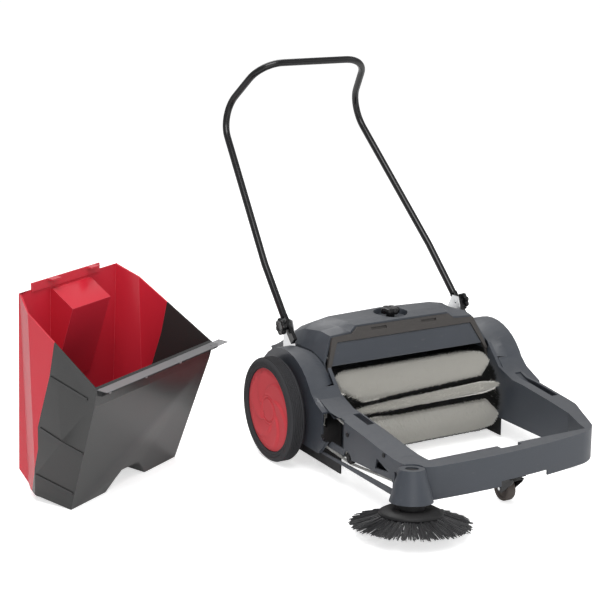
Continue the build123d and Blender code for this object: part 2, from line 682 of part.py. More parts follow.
def make_drive_hub():
    """Gear and round-belt pulley in one moulding, fixed to the inner side of the right wheel."""
    gear = gear_blank(GEAR_TEETH, GEAR_WIDTH, 0.0)
    hub = Pos(-GEAR_X - GEAR_WIDTH, 0, AXLE_Z) * Rot(0, 90, 0) * gear
    hub += rod_x(HUB_R, -GEAR_X - GEAR_WIDTH, -WHEEL_IN, 0, AXLE_Z)
    hub += rod_x(HUB_R - 4, -GEAR_X, -HUB_PULLEY_X, 0, AXLE_Z)
    pulley = rod_x(HUB_PULLEY_R - 1, -HUB_PULLEY_X - 7, -HUB_PULLEY_X + 7, 0, AXLE_Z)
    pulley += rod_x(HUB_PULLEY_R + 5, -HUB_PULLEY_X - 7, -HUB_PULLEY_X - 4.5, 0, AXLE_Z)
    pulley += rod_x(HUB_PULLEY_R + 5, -HUB_PULLEY_X + 4.5, -HUB_PULLEY_X + 7, 0, AXLE_Z)
    hub += pulley
    hub -= rod_x(AXLE_R + RUN_FIT, -WHEEL_IN - 1, -HUB_PULLEY_X + 8, 0, AXLE_Z)
    nodes["drive_hub"] = hub


def make_jackshaft():
    nodes["jackshaft"] = rod_x(SHAFT_R, -GEAR_X - GEAR_WIDTH, -PLATE_IN + 2, JACK_Y, JACK_Z)
    pinion = gear_blank(PINION_TEETH, GEAR_WIDTH, 0.5)
    pinion = Pos(-GEAR_X - GEAR_WIDTH, JACK_Y, JACK_Z) * Rot(0, 90, 0) * pinion
    pinion -= rod_x(SHAFT_R, -WHEEL_IN, -POD_OUT, JACK_Y, JACK_Z)
    nodes["jackshaft_pinion"] = pinion
    nodes["belt_pulley_upper"] = belt_pulley(JACK_Y, JACK_Z)


def belt_pulley(y, z):
    """Flanged flat-belt pulley on a shaft."""
    low = -BELT_X - BELT_WIDTH / 2
    pulley = rod_x(BELT_PULLEY_R, low - 0.5, low + BELT_WIDTH + 0.5, y, z)
    pulley += rod_x(BELT_PULLEY_R + 4, low - 2.0, low - 0.5, y, z)
    pulley += rod_x(BELT_PULLEY_R + 4, low + BELT_WIDTH + 0.5, low + BELT_WIDTH + 2.0, y, z)
    return pulley - rod_x(SHAFT_R, low - 5, low + BELT_WIDTH + 5, y, z)


def make_brush_belt():
    """Belt from the jackshaft down to the brush shaft, riding with the brush carrier."""
    a = Vector(JACK_Y, JACK_Z)
    b = Vector(BRUSH_Y, BRUSH_Z)
    inner = BELT_PULLEY_R + BELT_GAP
    span = make_hull([*circle_edges(a, inner), *circle_edges(b, inner)])
    band = make_hull([*circle_edges(a, inner + BELT_T), *circle_edges(b, inner + BELT_T)]) - span
    ring = extrude(Pos(-BELT_X - BELT_WIDTH / 2, 0, 0) * (Plane.YZ * band), amount=BELT_WIDTH, dir=(1, 0, 0))
    nodes["brush_belt"] = ring


def circle_edges(centre, radius):
    return (Pos(centre.X, centre.Y) * Circle(radius)).edges()


def make_carrier():
    """Two swing arms and the cross tube that hold the main brush and let the knob lift it."""
    arm = [
        (JACK_Y + 16, JACK_Z - 12),
        (JACK_Y + 16, JACK_Z + 14),
        (LIFT_KNOB_Y + 14, CROSSBAR_Z + 11),
        (LIFT_KNOB_Y - 14, CROSSBAR_Z + 11),
        (BRUSH_Y - 18, BRUSH_Z + 16),
        (BRUSH_Y - 18, BRUSH_Z - 18),
        (BRUSH_Y + 16, BRUSH_Z - 18),
    ]
    plate = side_prism(arm, ARM_PLATE_X, ARM_PLATE_X + PLATE_T)
    plate -= rod_x(AXLE_R + 8 + CARRIER_ROOM, ARM_PLATE_X - 1, ARM_PLATE_X + 4, 0, AXLE_Z)
    plate -= rod_x(SHAFT_R + RUN_FIT, ARM_PLATE_X - 1, ARM_PLATE_X + 4, JACK_Y, JACK_Z)
    plate -= rod_x(BEARING_R, ARM_PLATE_X - 1, ARM_PLATE_X + 4, BRUSH_Y, BRUSH_Z)
    plate -= rod_x(CROSSBAR_R, ARM_PLATE_X - 1, ARM_PLATE_X + 4, LIFT_KNOB_Y, CROSSBAR_Z)
    nodes["carrier_arm_left"] = plate
    nodes["carrier_arm_right"] = mirror_x(plate)
    bar = rod_x(CROSSBAR_R, -ARM_PLATE_X - PLATE_T, ARM_PLATE_X + PLATE_T, LIFT_KNOB_Y, CROSSBAR_Z)
    lug = block((-22, 22), (LIFT_KNOB_Y - 24, LIFT_KNOB_Y + 24), (CROSSBAR_Z - 12, CROSSBAR_Z + 12))
    slot = block((-SCREW_R - 1, SCREW_R + 1), (LIFT_KNOB_Y - 17, LIFT_KNOB_Y + 17), (CROSSBAR_Z - 30, CROSSBAR_Z + 30))
    nodes["carrier_tube"] = bar + lug - slot
    bearing = rod_x(BEARING_R, ARM_PLATE_X - 3, ARM_PLATE_X + PLATE_T, BRUSH_Y, BRUSH_Z)
    bearing -= rod_x(SHAFT_R + RUN_FIT, ARM_PLATE_X - 4, ARM_PLATE_X + 10, BRUSH_Y, BRUSH_Z)
    nodes["brush_bearings"] = both_sides(bearing)


# ---- Main brush ----
def sector(radius, x0, x1, start, stop):
    """Bristle band around the core between two angles measured up from straight ahead."""
    centre = (BRUSH_Y, BRUSH_Z)
    middle = (start + stop) / 2
    inner = [polar(centre, CORE_R, a) for a in (start, middle, stop)]
    outer = [polar(centre, radius, a) for a in (start, middle, stop)]
    edges = [
        ThreePointArc(*inner),
        Line(inner[2], outer[2]),
        ThreePointArc(*reversed(outer)),
        Line(outer[0], inner[0]),
    ]
    return extrude(Pos(x0, 0, 0) * (Plane.YZ * make_face(edges)), amount=x1 - x0, dir=(1, 0, 0))


def make_brush():
    core = rod_x(CORE_R, -BRUSH_HALF + 2, BRUSH_HALF - 2, BRUSH_Y, BRUSH_Z)
    core -= rod_x(CORE_R - 4, -BRUSH_HALF + 8, BRUSH_HALF - 8, BRUSH_Y, BRUSH_Z)
    core -= rod_x(SHAFT_R, -BRUSH_HALF, BRUSH_HALF, BRUSH_Y, BRUSH_Z)
    shaft = rod_x(SHAFT_R, -BELT_X - BELT_WIDTH / 2 - 5, ARM_PLATE_X + PLATE_T + 3, BRUSH_Y, BRUSH_Z)
    nodes["brush_core"] = core
    nodes["brush_shaft"] = shaft
    nodes["belt_pulley_lower"] = belt_pulley(BRUSH_Y, BRUSH_Z)
    rows = sorted(BLACK_ROW_ANGLES)
    white = []
    black = []
    for i, angle in enumerate(rows):
        following = rows[(i + 1) % len(rows)] + (360 if i + 1 == len(rows) else 0)
        low = angle + BLACK_ROW_SPREAD
        high = following - BLACK_ROW_SPREAD
        white.append(sector(BRUSH_R - 1.0, -BRUSH_HALF, BRUSH_HALF, low, high))
        black.append(sector(BRUSH_R, -BRUSH_HALF - 4, BRUSH_HALF + 4, angle - BLACK_ROW_SPREAD, low))
    nodes["bristles_white"] = Compound(white)
    nodes["bristles_black"] = Compound(black)


# ---- Height adjustment ----
def make_lift_knob():
    knob = star_knob(LIFT_KNOB_R, 16.0, 6)
    knob = Pos(0, LIFT_KNOB_Y, KNOB_SEAT_Z + 13) * knob
    knob += rod_z(LIFT_STEM_R, 0, LIFT_KNOB_Y, KNOB_SEAT_Z + FACE_GAP, KNOB_SEAT_Z + 14)
    knob -= rod_z(SCREW_R, 0, LIFT_KNOB_Y, KNOB_SEAT_Z - 1, KNOB_SEAT_Z + 20)
    nodes["lift_knob"] = knob
    screw = rod_z(SCREW_R, 0, LIFT_KNOB_Y, CROSSBAR_Z - 20, KNOB_SEAT_Z + 20)
    nodes["lift_screw"] = screw


# ---- Side broom ----
def make_side_broom():
    drop = BROOM_PULLEY_DROP
    ring_drop = BAR_TOP - 52.0
    spindle = broom_disc(SPINDLE_R, 9, ring_drop + 6)
    groove = [
        (0, drop - 12),
        (BROOM_PULLEY_R + 2, drop - 12),
        (BROOM_PULLEY_R + 2, drop - 10),
        (BROOM_PULLEY_R, drop - 8),
        (BROOM_PULLEY_R, drop + 8),
        (BROOM_PULLEY_R + 2, drop + 10),
        (BROOM_PULLEY_R + 2, drop + 12),
        (0, drop + 12),
    ]
    pulley = broom_solid(groove) - broom_disc(SPINDLE_R, 0, 200)
    hub = broom_solid([(0, drop + 12), (30, drop + 12), (34, drop + 24), (34, ring_drop - 6), (0, ring_drop - 6)])
    hub -= broom_disc(SPINDLE_R, 0, 200)
    ring = broom_solid(
        [
            (0, ring_drop - 6),
            (RING_R - 14, ring_drop - 6),
            (RING_R - 2, ring_drop),
            (RING_R, ring_drop + 5),
            (RING_R - 4, ring_drop + 12),
            (0, ring_drop + 12),
        ]
    )
    ring -= broom_disc(SPINDLE_R, 0, ring_drop + 6)
    lean = math.radians(BROOM_TILT)
    tip_drop = (BAR_TOP - BROOM_TIP_GAP - BROOM_R * math.sin(lean)) / math.cos(lean)
    skirt = broom_solid(
        [
            (RING_R - 26, ring_drop + 12),
            (RING_R - 4, ring_drop + 12),
            (BROOM_R, tip_drop - 2),
            (BROOM_R - 1, tip_drop),
            (BROOM_R - 40, tip_drop),
        ]
    )
    nodes["broom_spindle"] = spindle
    nodes["broom_pulley"] = pulley
    nodes["broom_hub"] = hub
    nodes["broom_ring"] = ring
    nodes["broom_bristles"] = skirt


def pulley_tangent(plane, radius, point, side):
    """Point where a straight run from a given point meets a circle in a plane, on one side of it."""
    local = plane.to_local_coords(point)
    reach = math.hypot(local.X, local.Y)
    angle = math.atan2(local.Y, local.X) - side * math.acos(radius / reach)
    return plane.from_local_coords(Vector(radius * math.cos(angle), radius * math.sin(angle), 0))


def make_round_belt():
    """Round drive belt: over the hub pulley, forward to the broom pulley and back over the guide."""
    hub_x = -HUB_PULLEY_X
    r_hub = HUB_PULLEY_R + ROUND_BELT_R + BELT_GAP
    r_broom = BROOM_PULLEY_R + ROUND_BELT_R + 2 * BELT_GAP
    plane = broom_plane(BROOM_PULLEY_DROP)
    guide = Vector(GUIDE_X, GUIDE_Y, GUIDE_LOW)
    inner = pulley_tangent(plane, r_broom, guide, 1)
    nose = plane.origin - plane.y_dir * r_broom
    drop = AXLE_Z - plane.origin.Z
    top = math.atan2(-drop, -plane.origin.Y) + math.acos(r_hub / math.hypot(plane.origin.Y, drop))
    upper = Vector(hub_x, -r_hub * math.cos(top), AXLE_Z + r_hub * math.sin(top))
    share = (POST_Y - upper.Y) / (plane.origin.Y - upper.Y)
    post = Vector(hub_x, POST_Y, upper.Z + (plane.origin.Z - upper.Z) * share)
    outer = pulley_tangent(plane, r_broom, post, -1)
    back = Vector(hub_x, r_hub, AXLE_Z)
    low = Vector(hub_x, -6.0, AXLE_Z - math.sqrt(r_hub ** 2 - 36.0))
    lines = [
        Line(post, upper),
        ThreePointArc(upper, back, low),
        Line(low, guide),
        Line(guide, inner),
        ThreePointArc(inner, nose, outer),
        Line(outer, post),
    ]
    runs = []
    for line in lines:
        section = Plane(origin=line @ 0, z_dir=line % 0) * Circle(ROUND_BELT_R)
        runs.append(sweep(section, path=Wire([line])).solid())
    nodes["round_belt"] = Compound(runs)


def make_guide():
    axis_z = GUIDE_LOW + ROUND_BELT_R + BELT_GAP + GUIDE_R - 1.5
    roller = rod_x(GUIDE_R + 1.5, GUIDE_X - 6, GUIDE_X + 6, GUIDE_Y, axis_z)
    roller -= rod_x(GUIDE_R + 3, GUIDE_X - 4, GUIDE_X + 4, GUIDE_Y, axis_z)
    roller += rod_x(GUIDE_R - 1.5, GUIDE_X - 4, GUIDE_X + 4, GUIDE_Y, axis_z)
    roller -= rod_x(4 + RUN_FIT, GUIDE_X - 7, GUIDE_X + 7, GUIDE_Y, axis_z)
    nodes["guide_pulley"] = roller
    pin = rod_x(4, GUIDE_X - 9, -ARM_IN - WALL, GUIDE_Y, axis_z)
    pin += rod_x(7, GUIDE_X - 9, GUIDE_X - 6.5, GUIDE_Y, axis_z)
    pin += rod_x(7, GUIDE_X + 6.5, GUIDE_X + 10, GUIDE_Y, axis_z)
    post_x = -HUB_PULLEY_X - ROUND_BELT_R - BELT_GAP - POST_R - 1.2
    pin += rod_z(POST_R, post_x, POST_Y, BROOM_PULLEY_Z - 6, BAR_TOP - WALL)
    nodes["guide_pins"] = pin


# ---- Castor ----
def make_castor():
    wheel_y = CASTOR_Y + CASTOR_TRAIL
    half = CASTOR_WIDTH / 2
    wheel = Pos(CASTOR_X, wheel_y, CASTOR_R) * Rot(0, 90, 0) * Cylinder(CASTOR_R, CASTOR_WIDTH)
    wheel = chamfer(wheel.edges().filter_by(GeomType.CIRCLE), 3.0)
    wheel -= rod_x(4 + RUN_FIT, CASTOR_X - half - 1, CASTOR_X + half + 1, wheel_y, CASTOR_R)
    pin = rod_x(4, CASTOR_X - half - 6, CASTOR_X + half + 6, wheel_y, CASTOR_R)
    top_z = CASTOR_R * 2 + 5.0
    cheek = [
        (wheel_y - 10, CASTOR_R - 8),
        (wheel_y + 10, CASTOR_R - 8),
        (wheel_y + 10, CASTOR_R + 10),
        (CASTOR_Y + 20, top_z + 3),
        (CASTOR_Y - 20, top_z + 3),
        (CASTOR_Y - 14, top_z - 8),
    ]
    fork = side_prism(cheek, CASTOR_X + half + 1.5, CASTOR_X + half + 4)
    fork += side_prism(cheek, CASTOR_X - half - 4, CASTOR_X - half - 1.5)
    fork += block((CASTOR_X - half - 4, CASTOR_X + half + 4), (CASTOR_Y - 20, CASTOR_Y + 20), (top_z, top_z + 3))
    fork += rod_z(20, CASTOR_X, CASTOR_Y, top_z, top_z + 7)
    fork += rod_z(KINGPIN_R - RUN_FIT, CASTOR_X, CASTOR_Y, top_z, CASTOR_TOP + 18)
    fork -= rod_x(4, CASTOR_X - half - 7, CASTOR_X + half + 7, wheel_y, CASTOR_R)
    plate = block((CASTOR_X - 22, CASTOR_X + 22), (CASTOR_Y - 20, CASTOR_Y + 20), (top_z + 7 + FACE_GAP, CASTOR_TOP))
    plate -= rod_z(KINGPIN_R, CASTOR_X, CASTOR_Y, 0, 200)
    nodes["castor_wheel"] = wheel
    nodes["castor_pin"] = pin
    nodes["castor_fork"] = fork
    nodes["castor_plate"] = plate


# ---- Handle ----
def leg_run():
    """Direction down a leg, from the knee towards the pivot."""
    return Vector(0, PIVOT_Y - KNEE[1], PIVOT_Z - KNEE[2]).normalized()


def make_handle():
    run = leg_run()
    start = Vector(LEG_X, PIVOT_Y, PIVOT_Z) - run * 26
    half = [tuple(start), KNEE, CORNER, GRIP]
    path = half + [(-x, y, z) for x, y, z in reversed(half)]
    tube = tube_along(rounded_path(path, BEND_R), TUBE_R)
    lay = Plane(origin=(LEG_X, PIVOT_Y, PIVOT_Z), x_dir=tuple(run), z_dir=(1, 0, 0))
    tongue = lay * (Pos((LEG_TIP - 30) / 2, 0, 0) * Box(LEG_TIP + 30, TONGUE_W, TONGUE_T))
    tongue -= rod_x(BOLT_R + RUN_FIT, LEG_X - 20, LEG_X + 20, PIVOT_Y, PIVOT_Z)
    nodes["handle_tube"] = tube + both_sides(tongue)


def make_handle_mounts():
    x0 = BRACKET_IN
    x1 = BRACKET_IN + BRACKET_T
    outline = [(60, 244), (60, 300), (78, 352), (106, 352), (128, 316), (128, 230)]
    plate = side_prism(outline, x0, x1)
    plate -= rod_x(BOLT_R, x0 - 1, x1 + 1, PIVOT_Y, PIVOT_Z)
    plate -= rod_x(2.5, x0 - 1, x1 + 1, 84, 310)
    nodes["handle_brackets"] = both_sides(plate)
    bolt = rod_x(BOLT_R, x0 - 2.5, LEG_X + TONGUE_T / 2 + KNOB_T - 4, PIVOT_Y, PIVOT_Z)
    nodes["handle_bolts"] = both_sides(bolt)
    seat = LEG_X + TONGUE_T / 2 + FACE_GAP
    knob = star_knob(KNOB_R, KNOB_T - 8, 7)
    knob = Pos(0, 0, 8) * knob + Cylinder(11, 9, align=(Align.CENTER, Align.CENTER, Align.MIN))
    knob -= Cylinder(BOLT_R + RUN_FIT, 2 * KNOB_T - 4)
    nodes["handle_knob_left"] = along_x(knob, seat, PIVOT_Y, PIVOT_Z, 1)
    nodes["handle_knob_right"] = along_x(knob, -seat, PIVOT_Y, PIVOT_Z, -1)


# ---- Hopper ----
def hopper_body(shrink, lift):
    """Outer (or inset) form of the hopper: a leaning side profile narrowed in plan and from the front."""
    side = [(0, 0), LEDGE, LIP, RIM_BACK, BACK_FOOT, HEEL]
    if shrink:
        side = inset(side, shrink)
        side[2] = (side[2][0] - 8.0 + shrink, side[2][1] + lift)
        side[3] = (side[3][0], side[3][1] + lift)
    form = side_prism(side, -HOPPER_LIP_HALF, HOPPER_LIP_HALF)
    s = shrink
    front = [
        (HOPPER_FOOT_HALF - s, -5),
        (HOPPER_LIP_HALF - s, LIP[1]),
        (HOPPER_LIP_HALF - s, 640),
    ]
    form &= front_prism(front + [(-x, z) for x, z in reversed(front)], -200, 300)
    back = RIM_BACK[0]
    plan = [
        (HOPPER_LIP_HALF - s, LIP[0] - 20),
        (233 - s, 12),
        (225 - s, back - 52),
        (HOPPER_BACK_HALF - 20 - s, back - 4 - s),
        (HOPPER_BACK_HALF - 36 - s, 260),
    ]
    form &= plan_prism(plan + [(-x, y) for x, y in reversed(plan)], -10, 700)
    return form


def hopper_shell():
    shell = hopper_body(0.0, 0.0) - hopper_body(HOPPER_WALL, 60.0)
    for grow, sign in ((HOPPER_WALL, 1), (0.0, -1)):
        half = ARCH_HALF + grow
        rise = ARCH_RISE + grow
        points = [(half, -1), (half * 0.66, rise * 0.62), (half * 0.42, rise), (-half * 0.42, rise)]
        points += [(-half * 0.66, rise * 0.62), (-half, -1)]
        tunnel = front_prism(points, -60, ARCH_DEPTH + grow) & hopper_body(0.0, 0.0)
        shell = shell + tunnel if sign > 0 else shell - front_prism(points, -60, ARCH_DEPTH)
    for grow, sign in ((HOPPER_WALL, 1), (0.0, -1)):
        well = block((162 - grow, 198 + grow), (ROLLER_Y - 18 - grow, ROLLER_Y + 18 + grow), (-1, 30 + grow))
        wells = both_sides(well)
        shell = shell + (wells & hopper_body(0.0, 0.0)) if sign > 0 else shell - wells
    for grow, sign in ((HOPPER_WALL, 1), (0.0, -1)):
        wedge = [(220, 504 + grow), (150, 504 + grow), (92 - grow, 460 + grow), (166 - grow, 262 - grow), (220, 262 - grow)]
        pocket = side_prism(wedge, -72 - grow, 72 + grow)
        shell = shell + (pocket & hopper_body(0.0, 0.0)) if sign > 0 else shell - pocket
    crest = block((-150, 118), (RIM_BACK[0] - 4, RIM_BACK[0]), (RIM_BACK[1] - 6, RIM_BACK[1] + 16))
    for x in (-92, 62):
        crest += block((x, x + 34), (RIM_BACK[0] - 22, RIM_BACK[0]), (RIM_BACK[1] + 12, RIM_BACK[1] + 16))
    return shell + crest


def make_hopper():
    shell = hopper_shell()
    seam = [(-400, 700), (SEAM[0][0] - 6, 700)] + [(SEAM[0][0], SEAM[0][1] + 12)] + list(SEAM[1:]) + [(136, -20), (-400, -20)]
    front = side_prism(seam, -300, 300)
    black = shell & front
    for z, reach in ((340, 41), (202, 84), (77, 105)):
        y0 = -81 if z > 300 else (-54 if z > 150 else -12)
        drop = 34 if z > 300 else (40 if z > 150 else 28)
        rib = [(reach - 4, z), (reach - 4, z - 6), (y0, z - drop - 6), (y0, z - drop)]
        ribs = side_prism(rib, HOPPER_FOOT_HALF - 8, HOPPER_LIP_HALF + 2)
        ribs -= hopper_body(0.0, 0.0)
        ribs &= hopper_body(-3.0, 0.0)
        black += both_sides(ribs)
    nodes["hopper_front"] = black
    nodes["hopper_back"] = shell - front
    film = Plane(origin=(0, LIP[0], LIP[1]), x_dir=(1, 0, 0), z_dir=(0, -0.08, 1.0))
    nodes["hopper_flap"] = film * (Pos(12, -15.5, 2.0) * Box(2 * HOPPER_LIP_HALF + 24, 30, 1.6))
    bar_y = (LIP[0] - 14.5, LIP[0] - 0.5)
    bar = block((-HOPPER_LIP_HALF, HOPPER_LIP_HALF), bar_y, (LIP[1] - 12, LIP[1] - 1))
    bar_face = [(LIP[0] - 0.4, LIP[1] + 5), (LIP[0] - 20, LIP[1] + 5), (LIP[0] - 20, LIP[1] - 20), (LIP[0] + 3, LIP[1] - 20)]
    bar &= side_prism(bar_face, -HOPPER_LIP_HALF, HOPPER_LIP_HALF)
    nodes["flap_bar"] = bar
    head = Rot(90, 0, 0) * Cylinder(4.5, 2.8)
    screws = [Pos(x, bar_y[0] - 1.6, LIP[1] - 6.5) * head for x in (-216, -72, 72, 216)]
    nodes["flap_screws"] = Compound(screws)
    rollers = rod_x(ROLLER_R, 168, 192, ROLLER_Y, ROLLER_R)
    rollers -= rod_x(4 + RUN_FIT, 160, 200, ROLLER_Y, ROLLER_R)
    nodes["hopper_rollers"] = both_sides(rollers)
    axle = rod_x(4, 164, 196, ROLLER_Y, ROLLER_R)
    ear = block((193, 196), (ROLLER_Y - 8, ROLLER_Y + 8), (ROLLER_R - 6, 30))
    ear += block((164, 167), (ROLLER_Y - 8, ROLLER_Y + 8), (ROLLER_R - 6, 30))
    nodes["roller_brackets"] = both_sides(axle + ear)
    place = Pos(HOPPER_PLACE[0], HOPPER_PLACE[1], 0) * Rot(0, 0, HOPPER_YAW)
    for name in HOPPER_NODES:
        nodes[name] = place * nodes[name]


# ---- Fasteners on the chassis ----
def make_screws():
    head = Cylinder(5.5, 3.0, align=(Align.CENTER, Align.CENTER, Align.MIN))
    left = [along_x(head, ARM_OUT, y, 150, 1) for y in (-300, -400)]
    right = [along_x(head, -ARM_OUT_RIGHT, y, 150, -1) for y in (-300, -470)]
    pods = [along_x(head, side * POD_OUT, -205, 120, side) for side in (1, -1)]
    nodes["frame_screws"] = Compound(left + right + pods)


HOPPER_NODES = (
    "hopper_front",
    "hopper_back",
    "hopper_flap",
    "flap_bar",
    "flap_screws",
    "hopper_rollers",
    "roller_brackets",
)


def main():
    make_frame_sides()
    make_front_bar()
    make_broom_housing()
    make_hood()
    make_mouth()
    make_side_plates()
    make_rear_panel()
    make_axles()
    make_wheel("left", 1)
    make_wheel("right", -1)
    make_drive_hub()
    make_jackshaft()
    make_brush_belt()
    make_carrier()
    make_brush()
    make_lift_knob()
    make_side_broom()
    make_round_belt()
    make_guide()
    make_castor()
    make_handle()
    make_handle_mounts()
    make_screws()
    make_hopper()
    boxes = [shape.bounding_box() for shape in nodes.values()]
    low = [min(getattr(b.min, a) for b in boxes) for a in "XYZ"]
    high = [max(getattr(b.max, a) for b in boxes) for a in "XYZ"]
    shift = Pos(-(low[0] + high[0]) / 2, -(low[1] + high[1]) / 2, -low[2])
    os.makedirs("parts", exist_ok=True)
    for name, shape in nodes.items():
        export_step(shift * shape, "parts/" + name + ".step")


main()
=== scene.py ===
"""Walk behind floor sweeper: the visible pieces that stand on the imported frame.

Each operator makes one piece or one group of like pieces. Lengths are metres.
"""

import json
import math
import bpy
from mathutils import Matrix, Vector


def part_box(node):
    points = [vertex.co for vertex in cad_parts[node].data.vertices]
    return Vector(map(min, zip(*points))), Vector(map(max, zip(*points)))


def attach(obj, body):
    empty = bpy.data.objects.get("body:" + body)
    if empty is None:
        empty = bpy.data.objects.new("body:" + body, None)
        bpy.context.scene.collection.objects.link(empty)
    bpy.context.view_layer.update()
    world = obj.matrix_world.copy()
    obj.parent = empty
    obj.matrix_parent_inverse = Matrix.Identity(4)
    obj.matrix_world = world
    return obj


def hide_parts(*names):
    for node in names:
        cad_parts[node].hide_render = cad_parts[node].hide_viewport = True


bl_info = {
    "name": "Floor sweeper pieces",
    "version": (1, 0, 0),
    "blender": (4, 5, 0),
    "location": "View3D > Sidebar > Sweeper",
    "description": "Makes the visible pieces of a walk behind sweeper around its frame",
    "category": "Add Mesh",
}

import bmesh
import bpy
from bpy.props import FloatProperty, FloatVectorProperty, IntProperty, PointerProperty
from mathutils import Matrix, Vector

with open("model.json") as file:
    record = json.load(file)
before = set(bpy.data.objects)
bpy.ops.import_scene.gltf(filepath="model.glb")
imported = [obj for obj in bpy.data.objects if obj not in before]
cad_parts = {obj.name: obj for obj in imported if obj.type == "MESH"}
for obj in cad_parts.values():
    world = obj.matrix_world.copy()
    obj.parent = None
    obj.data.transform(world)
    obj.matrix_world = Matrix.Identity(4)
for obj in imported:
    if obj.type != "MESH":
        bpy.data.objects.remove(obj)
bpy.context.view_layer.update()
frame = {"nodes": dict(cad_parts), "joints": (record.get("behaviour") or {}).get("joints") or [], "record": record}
BODY_OF_NODE = {node: body for body, held in frame["record"]["behaviour"]["bodies"].items() for node in held}
JOINT = {joint["name"]: joint for joint in frame["joints"]}


# ---- Places that follow the frame ----
def middle(node):
    """Centre of a node's box."""
    low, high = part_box(node)
    return (Vector(low) + Vector(high)) / 2


def extent(node):
    """Size of a node's box along each axis."""
    low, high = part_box(node)
    return Vector(high) - Vector(low)


MID_X = middle("hood").x
BRUSH_AXIS = middle("brush_core")
BRUSH_RADIUS = extent("bristles_white").z / 2
BRUSH_HALF = extent("bristles_white").x / 2
BROOM_PIVOT = Vector(JOINT["side_broom_spin"]["pos_m"])
BROOM_UP = Vector(JOINT["side_broom_spin"]["axis"]).normalized()
UP = Vector((0.0, 0.0, 1.0))
CAMERA_FROM_MACHINE = Vector((-2.172, -3.376, 1.401))

# Light from the surroundings, the floor's own light and its extra when looked at, and a painted glow that the
# bristle materials give out as emission.
AMBIENT = 0.45
FLOOR_GLOW = 0.10
FLOOR_LIFT = 0.52
BRISTLE_PAINTED_GLOW = 0.72


# ---- Settings shown in the sidebar ----
def colour_setting(name, about, default):
    return FloatVectorProperty(
        name=name, description=about, subtype="COLOR", min=0.0, max=1.0, default=default
    )


def length_setting(name, about, low, high, default):
    return FloatProperty(name=name, description=about, unit="LENGTH", min=low, max=high, default=default)


class SweeperShellSettings(bpy.types.PropertyGroup):
    """Chassis mouldings."""

    slate: colour_setting("Slate", "Colour of the chassis mouldings", (0.050, 0.057, 0.070))
    trim: colour_setting("Trim", "Colour of the band along the front of the hood", (0.055, 0.050, 0.047))
    edge_radius: length_setting("Edge radius", "Rounding of the moulded edges", 0.0002, 0.004, 0.0021)


class SweeperWheelSettings(bpy.types.PropertyGroup):
    """Drive wheels."""

    disc_red: colour_setting("Disc", "Colour of the wheel discs", (0.72, 0.070, 0.095))
    blades: IntProperty(name="Blades", description="Curved blades on a disc", min=3, max=9, default=6)
    blade_height: length_setting("Blade height", "Height of a blade's ridge", 0.0005, 0.006, 0.0050)


class SweeperBrushSettings(bpy.types.PropertyGroup):
    """Main brush."""

    white: colour_setting("White bristles", "Colour of the soft bristles", (0.965, 0.955, 0.93))
    pitch: length_setting("Pitch", "Distance between neighbouring bristles", 0.001, 0.006, 0.0021)
    thickness: length_setting("Thickness", "Radius of a soft bristle at its root", 0.0002, 0.002, 0.0009)


class SweeperBroomSettings(bpy.types.PropertyGroup):
    """Side broom."""

    tufts: IntProperty(name="Tufts", description="Bristle tufts round the disc", min=12, max=60, default=30)
    per_tuft: IntProperty(name="Per tuft", description="Bristles in a tuft", min=6, max=60, default=13)
    thickness: length_setting("Thickness", "Radius of a stiff bristle", 0.0003, 0.002, 0.0011)


class SweeperHopperSettings(bpy.types.PropertyGroup):
    """Dirt hopper."""

    red: colour_setting("Red", "Colour of the hopper's back half", (0.62, 0.026, 0.050))
    black: colour_setting("Black", "Colour of the hopper's front half", (0.0095, 0.0095, 0.0105))


class SweeperStageSettings(bpy.types.PropertyGroup):
    """Floor, lights and camera."""

    azimuth: FloatProperty(
        name="Azimuth",
        description="Camera's direction round the sweeper",
        subtype="ANGLE",
        default=math.radians(-29.12),
    )
    elevation: FloatProperty(
        name="Elevation",
        description="Camera's height above the horizon",
        subtype="ANGLE",
        default=math.radians(14.13),
    )
    lens: FloatProperty(
        name="Lens",
        description="Focal length in millimetres",
        min=20.0,
        max=200.0,
        default=90.78,
    )


# ---- Node tree helper ----
def place(tree, kind, inputs=None, **settings):
    """Adds a node, sets it up, and joins or fills its inputs."""
    made = tree.nodes.new(kind)
    for name, value in settings.items():
        setattr(made, name, value)
    for key, value in (inputs or {}).items():
        socket = made.inputs[key]
        if isinstance(value, bpy.types.NodeSocket):
            tree.links.new(value, socket)
        else:
            socket.default_value = value
    return made


def maths(tree, operation, first, second=0.0, third=0.0):
    made = place(tree, "ShaderNodeMath", {0: first, 1: second, 2: third}, operation=operation)
    return made.outputs[0]


def vector_maths(tree, operation, first, second):
    made = place(tree, "ShaderNodeVectorMath", {0: first, 1: second}, operation=operation)
    return made.outputs["Vector"]


def scaled(tree, vector, factor):
    """Vector or colour times a number."""
    made = place(tree, "ShaderNodeVectorMath", {0: vector, "Scale": factor}, operation="SCALE")
    return made.outputs["Vector"]


def noise(tree, where, scale, detail, roughness=0.5):
    """Value of a noise pattern at a place."""
    inputs = {"Vector": where, "Scale": scale, "Detail": detail, "Roughness": roughness}
    return place(tree, "ShaderNodeTexNoise", inputs).outputs["Fac"]


def relief(tree, height, distance, strength):
    """Surface normal raised by a height pattern, its depth in metres."""
    inputs = {"Height": height, "Distance": distance, "Strength": strength}
    return place(tree, "ShaderNodeBump", inputs).outputs[0]


